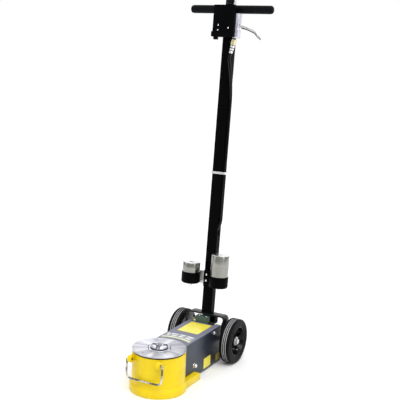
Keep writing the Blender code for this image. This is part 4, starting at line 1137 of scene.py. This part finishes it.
# ---------------------------------------------------------------- handle head
def make_t_bar():
    """The cross bar with two soft grips, ribbed near their inner ends."""
    low, high = local_box("t_bar")
    y, z = (low.y + high.y) / 2, (low.z + high.z) / 2
    radius, reach = (high.y - low.y) / 2, high.x
    bar_piece = lathe("cross_bar", [(0.0001, reach), (radius - 0.001, reach),
                                    (radius, reach - 0.001), (radius, -reach + 0.001),
                                    (radius - 0.001, -reach), (0.0001, -reach)], 48)
    turn_to(bar_piece, (1, 0, 0), (0, y, z), HANDLE)
    finish_piece(bar_piece, "handle", BLACK, ["t_bar"])
    low, high = local_box("grip_right")
    outer, tip, start = (high.y - low.y) / 2, high.x, low.x
    profile = [(0.0001, tip), (0.0060, tip - 0.0002), (0.0100, tip - 0.0012),
               (0.0130, tip - 0.0032), (0.0149, tip - 0.0062), (0.0157, tip - 0.0100),
               (outer, tip - 0.0140), (outer, start + 0.0100)]
    for ring in range(3):
        edge = start + 0.0085 - ring * 0.0025
        profile += [(outer, edge), (outer - 0.0007, edge - 0.0005), (outer - 0.0007, edge - 0.0011),
                    (outer, edge - 0.0016)]
    profile += [(outer - 0.0008, start), (radius + 0.0003, start),
                (radius + 0.0003, tip - 0.0037), (0.0001, tip - 0.0037)]
    grip = lathe("soft_grip", profile, 64)
    for side, word in ((-1, "left"), (1, "right")):
        piece = turn_to(copied(grip, "soft_grip_" + word), (side, 0, 0), (0, y, z), HANDLE)
        finish_piece(piece, "handle", GRIP, ["grip_" + word], 50)
    bpy.data.objects.remove(grip, do_unlink=True)


def make_control_box():
    """Black sheet box with rolled edges, its port, drain stub and three face screws."""
    pole_low = local_box("pole")[0]
    middle, half, front, back, low, high = -0.0035, 0.045, -0.0685, -0.0505, 1.1890, 1.3105
    box = bar("valve_housing", (middle - half, front, low), (middle + half, back, high))
    soften(box, 0.0022, 4)
    shoe = bar("housing_shoe", (-0.020, back - 0.004, 1.205), (0.0195, pole_low.y - FIT, 1.308))
    combine(box, soften(shoe, 0.0015, 2), 'UNION')
    port = bar("side_port", (middle - half - 0.0070, front + 0.0030, low + 0.0010),
               (middle - half + 0.003, back - 0.0015, low + 0.0215))
    combine(box, soften(port, 0.0030, 3), 'UNION')
    drain = bar("drain_stub", (middle - 0.039, front + 0.001, 1.1790),
                (middle - 0.0225, -0.0555, low + 0.004))
    combine(box, soften(drain, 0.0012, 2), 'UNION')
    lip = bar("lid_seam", (middle - half - 0.01, front + 0.0046, low - 0.01),
              (middle + half + 0.01, front + 0.0052, high + 0.01))
    frame_cut = bar("lid_core", (middle - half + 0.0006, front, low + 0.0006),
                    (middle + half - 0.0006, back, high - 0.0006))
    combine(lip, frame_cut)
    combine(box, lip)
    hole = round_bar("knob_bore", 0.0053, 1.296, 1.33, (0.010, -0.0440), 32)
    combine(box, hole)
    turn_to(box, frame_of=HANDLE)
    finish_piece(box, "handle", BOX_BLACK, ["control_box"], 30)
    for index, (x, z) in enumerate(((-0.0240, 1.2330), (-0.0245, 1.2149), (0.0190, 1.2232))):
        screw = lathe("pan_screw", [
            (0.0001, 0.0024), (0.0016, 0.0022), (0.0027, 0.0014), (0.0031, 0.0002),
            (0.0030, -0.0006), (0.0001, -0.0006)], 28)
        combine(screw, bar("cross_slot_a", (-0.0017, -0.0003, 0.0014), (0.0017, 0.0003, 0.005)))
        combine(screw, bar("cross_slot_b", (-0.0003, -0.0017, 0.0014), (0.0003, 0.0017, 0.005)))
        turn_to(screw, (0, -1, 0), (x, front, z), HANDLE, 0.4 * index)
        screw.name = "housing_screw_%d" % (index + 1)
        finish_piece(screw, "handle", CHROME)


def make_knob():
    """The fluted release knob, with a dished cap."""
    low, high = local_box("release_knob")
    x, y = (low.x + high.x) / 2, (low.y + high.y) / 2
    foot = 1.3082
    knob = lathe("release_grip", [
        (0.0001, 0.0262), (0.0080, 0.0262), (0.0095, 0.0270), (0.0132, 0.0270),
        (0.0165, 0.0258), (0.0183, 0.0236), (0.0190, 0.0200), (0.0190, 0.0060),
        (0.0183, 0.0046), (0.0165, 0.0035), (0.0048, 0.0035), (0.0048, -0.0110),
        (0.0001, -0.0110)], 80)
    for flute in range(8):
        angle = 2 * math.pi * flute / 8
        combine(knob, round_bar("flute_tool", 0.0024, -0.01, 0.04,
                                (0.0200 * math.cos(angle), 0.0200 * math.sin(angle)), 20))
    soften(knob, 0.0005, 2, 40)
    turn_to(knob, at=(x, y, foot), frame_of=HANDLE)
    finish_piece(knob, "release_knob", HUB, ["release_knob"], 40)
    low, high = local_box("bleed_stud")
    stud = lathe("bleed_screw", [
        (0.0001, high.z), (0.0036, high.z), (0.0044, high.z - 0.0008), (0.0044, high.z - 0.0052),
        (0.0036, high.z - 0.0058), (0.0036, high.z - 0.0084), (0.0052, high.z - 0.0090),
        (0.0052, low.z + 0.0006), (0.0046, low.z), (0.0001, low.z)], 40)
    turn_to(stud, at=((low.x + high.x) / 2, (low.y + high.y) / 2, 0), frame_of=HANDLE)
    finish_piece(stud, "handle", CHROME, ["bleed_stud"])


def make_valve():
    """The ribbed alloy valve body with its slanted shoulder and lever slot."""
    low, high = local_box("valve_body")
    middle_y = (low.y + high.y) / 2
    valve = bar("trigger_valve", low, high)
    soften(valve, 0.0016, 3)
    for rib in range(3):
        y = low.y + 0.0062 + rib * 0.0070
        combine(valve, bar("rib_tool", (high.x - 0.0018, y, low.z + 0.012),
                           (high.x + 0.01, y + 0.0030, high.z + 0.01)))
    slant = bar("slant_tool", (-0.02, -0.04, 0), (0.02, 0.04, 0.02))
    combine(valve, fix_at(slant, Matrix.Translation((high.x, middle_y, high.z + 0.004))
                          @ Matrix.Rotation(math.radians(32), 4, 'Y')))
    pin_low, pin_high = local_box("lever_pin")
    pivot = (pin_low + pin_high) / 2
    combine(valve, bar("slot_tool", (0.0385, pivot.y - 0.0053, low.z - 0.01),
                       (0.07, pivot.y + 0.0053, low.z + 0.0145)))
    pin_hole = round_bar("pin_tool", 0.0023, -0.03, 0.03, sides=24)
    combine(valve, turn_to(pin_hole, (0, 1, 0), pivot))
    soften(valve, 0.0004, 2, 45)
    turn_to(valve, frame_of=HANDLE)
    finish_piece(valve, "handle", CAST, ["valve_body"])
    pin = lathe("pivot_pin", [
        (0.0001, 0.0145), (0.0014, 0.0145), (0.0020, 0.0139), (0.0020, -0.0139),
        (0.0014, -0.0145), (0.0001, -0.0145)], 24)
    turn_to(pin, (0, 1, 0), pivot, HANDLE)
    finish_piece(pin, "handle", CHROME, ["lever_pin"])
    make_lever(pivot)


def smooth_path(spine, count):
    """A curve through every point of a spine."""
    path = []
    for i in range(count + 1):
        t = i / count * (len(spine) - 1)
        k = min(int(t), len(spine) - 2)
        f = t - k
        p0, p1 = Vector(spine[max(k - 1, 0)]), Vector(spine[k])
        p2, p3 = Vector(spine[k + 1]), Vector(spine[min(k + 2, len(spine) - 1)])
        path.append(0.5 * ((2 * p1) + (p2 - p0) * f + (2 * p0 - 5 * p1 + 4 * p2 - p3) * f * f
                           + (3 * p1 - p0 - 3 * p2 + p3) * f ** 3))
    return path


def band_outline(path, root, tip, near=-1.0, far=1.0):
    """Both sides of a path as one outline, between two parts of its tapering width."""
    upper, lower = [], []
    for i, point in enumerate(path):
        ahead = path[min(i + 1, len(path) - 1)] - path[max(i - 1, 0)]
        side = Vector((-ahead.y, ahead.x)).normalized()
        reach = (root + (tip - root) * i / (len(path) - 1)) / 2
        upper.append(point + side * reach * far)
        lower.append(point + side * reach * near)
    return lower, upper


def make_lever(pivot):
    """The swept hand lever: a bright pressing over a black strip that paints the shade along its
    underside.
    """
    path = smooth_path([(0.0040, 0), (0.0350, -0.0060), (0.0700, -0.0200), (0.0840, -0.0330),
                        (0.0990, -0.0445)], 36)
    place = HANDLE @ Matrix.Translation(pivot) @ Matrix.Rotation(math.pi / 2, 4, 'X')
    lower, upper = band_outline(path, 0.0130, 0.0080, -0.30)
    outline = [tuple(p) for p in reversed(lower[1:])] + arc((0, 0), 0.0048, 330, 30, 20)
    outline += [tuple(p) for p in upper[1:]]
    lever = plate("squeeze_lever", outline, -0.0050, 0.0050)
    combine(lever, round_bar("lever_bore", 0.0023, -0.02, 0.02, sides=24))
    soften(lever, 0.0014, 3, 50)
    finish_piece(fix_at(lever, place), "control_lever", CAST_BRIGHT,
                 ["control_lever"], 40)
    # Painted shade: a black strip under the pressing darkens the lever's underside.
    lower, upper = band_outline(path[4:], 0.0124, 0.0080, -0.95, -0.34)
    underside_shade = plate("lever_underside_shade", [tuple(p) for p in reversed(lower)] + [tuple(p) for p in upper],
                   -0.0044, 0.0044)
    soften(underside_shade, 0.0006, 2, 50)
    finish_piece(fix_at(underside_shade, place), "control_lever", SEAL)


def make_fitting():
    """Inlet block, brass swivel nut and the two-step ferrule on one slanting axis."""
    valve_low = local_box("valve_body")[0]
    block = bar("inlet_body", (0.0270, -0.0465, 1.1880), (0.0540, -0.0255, 1.2220))
    soften(block, 0.0034, 4)
    neck = bar("inlet_neck", (0.0275, -0.0420, 1.2150), (0.0375, -0.0300, valve_low.z - FIT))
    combine(block, soften(neck, 0.0010, 2), 'UNION')
    port = round_bar("port_tool", 0.0030, -0.003, 0.02, sides=24)
    combine(block, turn_to(port, (0, -1, 0), (0.0430, -0.0450, 1.2050)))
    soften(block, 0.0004, 2, 50)
    turn_to(block, frame_of=HANDLE)
    finish_piece(block, "handle", CAST, ["inlet_block"])
    end, axis = FITTING_END, FITTING_TOP - FITTING_END
    length = axis.length
    nut = lathe("nut_blank", [
        (0.0001, length - 0.0030), (0.0088, length - 0.0030), (0.0112, length - 0.0046),
        (0.0112, 0.0356), (0.0088, 0.0340), (0.0001, 0.0340)], 48)
    combine(nut, round_bar("hex_tool", 0.0100 / math.cos(math.pi / 6), 0.02, length + 0.01,
                           sides=6), 'INTERSECT')
    turn_to(nut, axis, end, HANDLE)
    nut.name = "swivel_nut_hex"
    finish_piece(nut, "handle", BRASS, ["swivel_nut"])
    tail = lathe("hose_tail", [(0.0001, 0.0337), (0.0050, 0.0337), (0.0050, 0.0003),
                               (0.0001, 0.0003)], 32)
    finish_piece(turn_to(tail, axis, end, HANDLE), "handle", SEAL)
    for word, top, foot, radius in (("top", 0.0318, 0.0238, 0.0085), ("mid", 0.0212, 0.0140, 0.0080),
                                    ("foot", 0.0114, 0.0020, 0.0072)):
        sleeve = lathe("ferrule_" + word, [
            (0.0053, top), (radius - 0.0008, top), (radius, top - 0.0008), (radius, foot + 0.0008),
            (radius - 0.0008, foot), (0.0053, foot)], 48)
        finish_piece(turn_to(sleeve, axis, end, HANDLE), "handle", CHROME,
                     ["hose_ferrule"] if word == "top" else ())


def make_band():
    """The clamp's worm screw: a slotted head standing out of the band's housing."""
    low, high = local_box("hose_band")
    screw = lathe("worm_screw", [
        (0.0001, 0.0022), (0.0022, 0.0022), (0.0028, 0.0016), (0.0028, 0.0), (0.0001, 0.0)], 28)
    combine(screw, bar("screw_slot", (-0.004, -0.0004, 0.0012), (0.004, 0.0004, 0.004)))
    turn_to(screw, (0, -1, 0), (low.x + 0.0035, -0.0250, (low.z + high.z) / 2), HANDLE, 0.5)
    finish_piece(screw, "handle", CHROME)


def make_everything():
    make_base_plate()
    make_tube()
    make_head_plate()
    make_outer_ram()
    make_inner_ram()
    make_saddle()
    make_bail()
    make_cover()
    make_cover_screws()
    make_manifold()
    make_wheels()
    make_yoke()
    make_pole()
    make_pole_foot()
    make_hose()
    make_cups()
    make_bracket()
    make_band()
    make_t_bar()
    make_control_box()
    make_knob()
    make_valve()
    make_fitting()
    paint_kept(("outer_ram_seal", "inner_ram_seal", "hose_gland"), SEAL)
    paint_kept(("hose_band",), CHROME)
    paint_kept(("cup_hanger",), STRIP_ZINC)
    paint_kept(("chassis_pan", "pump_block"), BLACK)
    paint_kept(("air_motor", "oil_reservoir"), CAST)
    paint_kept(("brass_elbow",), BRASS)
    paint_kept(("exhaust_silencer",), BRONZE)


# ---------------------------------------------------------------- camera, floor and light
EYE = Vector((1.386, -2.3837, 1.2092))
AZIMUTH, PITCH, ROLL = 0.481380, 0.180375, 0.0424487
FOCAL, SENSOR = 71.69, 36.0


def make_camera():
    """A long lens, looking down at the jack from its front right, rolled very slightly."""
    ahead = Vector((-math.sin(AZIMUTH) * math.cos(PITCH), math.cos(AZIMUTH) * math.cos(PITCH),
                    -math.sin(PITCH)))
    side = Vector((math.cos(AZIMUTH), math.sin(AZIMUTH), 0))
    upward = side.cross(ahead)
    right = side * math.cos(ROLL) + upward * math.sin(ROLL)
    up = upward * math.cos(ROLL) - side * math.sin(ROLL)
    data = bpy.data.cameras.new("camera")
    data.sensor_width = SENSOR
    data.lens = FOCAL
    data.clip_end = 50
    camera = bpy.data.objects.new("camera", data)
    bpy.context.scene.collection.objects.link(camera)
    camera.matrix_world = Matrix((
        (right.x, up.x, -ahead.x, EYE.x), (right.y, up.y, -ahead.y, EYE.y),
        (right.z, up.z, -ahead.z, EYE.z), (0, 0, 0, 1)))
    bpy.context.scene.camera = camera


def make_light(name, kind, place, target, power, **settings):
    data = bpy.data.lights.new(name, kind)
    data.energy = power
    for setting, value in settings.items():
        setattr(data, setting, value)
    light = bpy.data.objects.new(name, data)
    bpy.context.scene.collection.objects.link(light)
    light.location = place
    light.rotation_euler = (Vector(target) - Vector(place)).to_track_quat('-Z', 'Y').to_euler()


def make_studio():
    """A pale seamless floor under one broad soft key, with two strips for metal to mirror."""
    clear_picks()
    bpy.ops.mesh.primitive_plane_add(size=120, location=(0, 0, -0.0002))
    floor = adopt("studio_floor")
    pale = Finish("studio_paper", (0.93, 0.93, 0.93), 0.9)
    pale.feed("Base Color", pale.blend(pale.grain(2.0, 2.0), (0.92, 0.92, 0.92, 1),
                                       (0.94, 0.94, 0.94, 1)))
    floor.data.materials.append(pale.material)
    make_world()
    centre = (0, 0.1, 0.3)
    make_light("key_sky", 'SUN', (1.0, -1.5, 3.2), centre, 1.25, angle=math.radians(35))
    make_light("right_strip", 'AREA', (2.6, -0.6, 1.9), centre, 14, shape='RECTANGLE', size=0.9,
               size_y=2.2)
    make_light("left_strip", 'AREA', (-2.2, -1.4, 1.6), centre, 8, shape='RECTANGLE', size=0.5,
               size_y=2.2)


def make_world():
    """A pale room to look at; its light is strong overhead and behind, weak in front."""
    world = bpy.data.worlds.new("studio")
    world.use_nodes = True
    tree = world.node_tree
    tree.nodes.clear()
    coordinates = tree.nodes.new("ShaderNodeTexCoord")
    parts = tree.nodes.new("ShaderNodeSeparateXYZ")
    rise = tree.nodes.new("ShaderNodeMapRange")
    rise.inputs[1].default_value, rise.inputs[2].default_value = 0.05, 0.85
    rise.inputs[3].default_value, rise.inputs[4].default_value = 0.25, 1.00
    behind = tree.nodes.new("ShaderNodeMapRange")
    behind.inputs[1].default_value, behind.inputs[2].default_value = 0.25, 0.90
    behind.inputs[4].default_value = 0.60
    total = tree.nodes.new("ShaderNodeMath")
    path = tree.nodes.new("ShaderNodeLightPath")
    seen = tree.nodes.new("ShaderNodeMix")
    seen.inputs[3].default_value = 1.0
    back = tree.nodes.new("ShaderNodeBackground")
    back.inputs["Color"].default_value = (1, 1, 1, 1)
    out = tree.nodes.new("ShaderNodeOutputWorld")
    for source, target in (
            (coordinates.outputs["Generated"], parts.inputs[0]),
            (parts.outputs[2], rise.inputs[0]), (parts.outputs[1], behind.inputs[0]),
            (rise.outputs[0], total.inputs[0]), (behind.outputs[0], total.inputs[1]),
            (path.outputs["Is Camera Ray"], seen.inputs[0]), (total.outputs[0], seen.inputs[2]),
            (seen.outputs[0], back.inputs["Strength"]),
            (back.outputs[0], out.inputs["Surface"])):
        tree.links.new(source, target)
    bpy.context.scene.world = world
    bpy.context.scene.view_settings.view_transform = 'Standard'


make_camera()
make_studio()
make_everything()
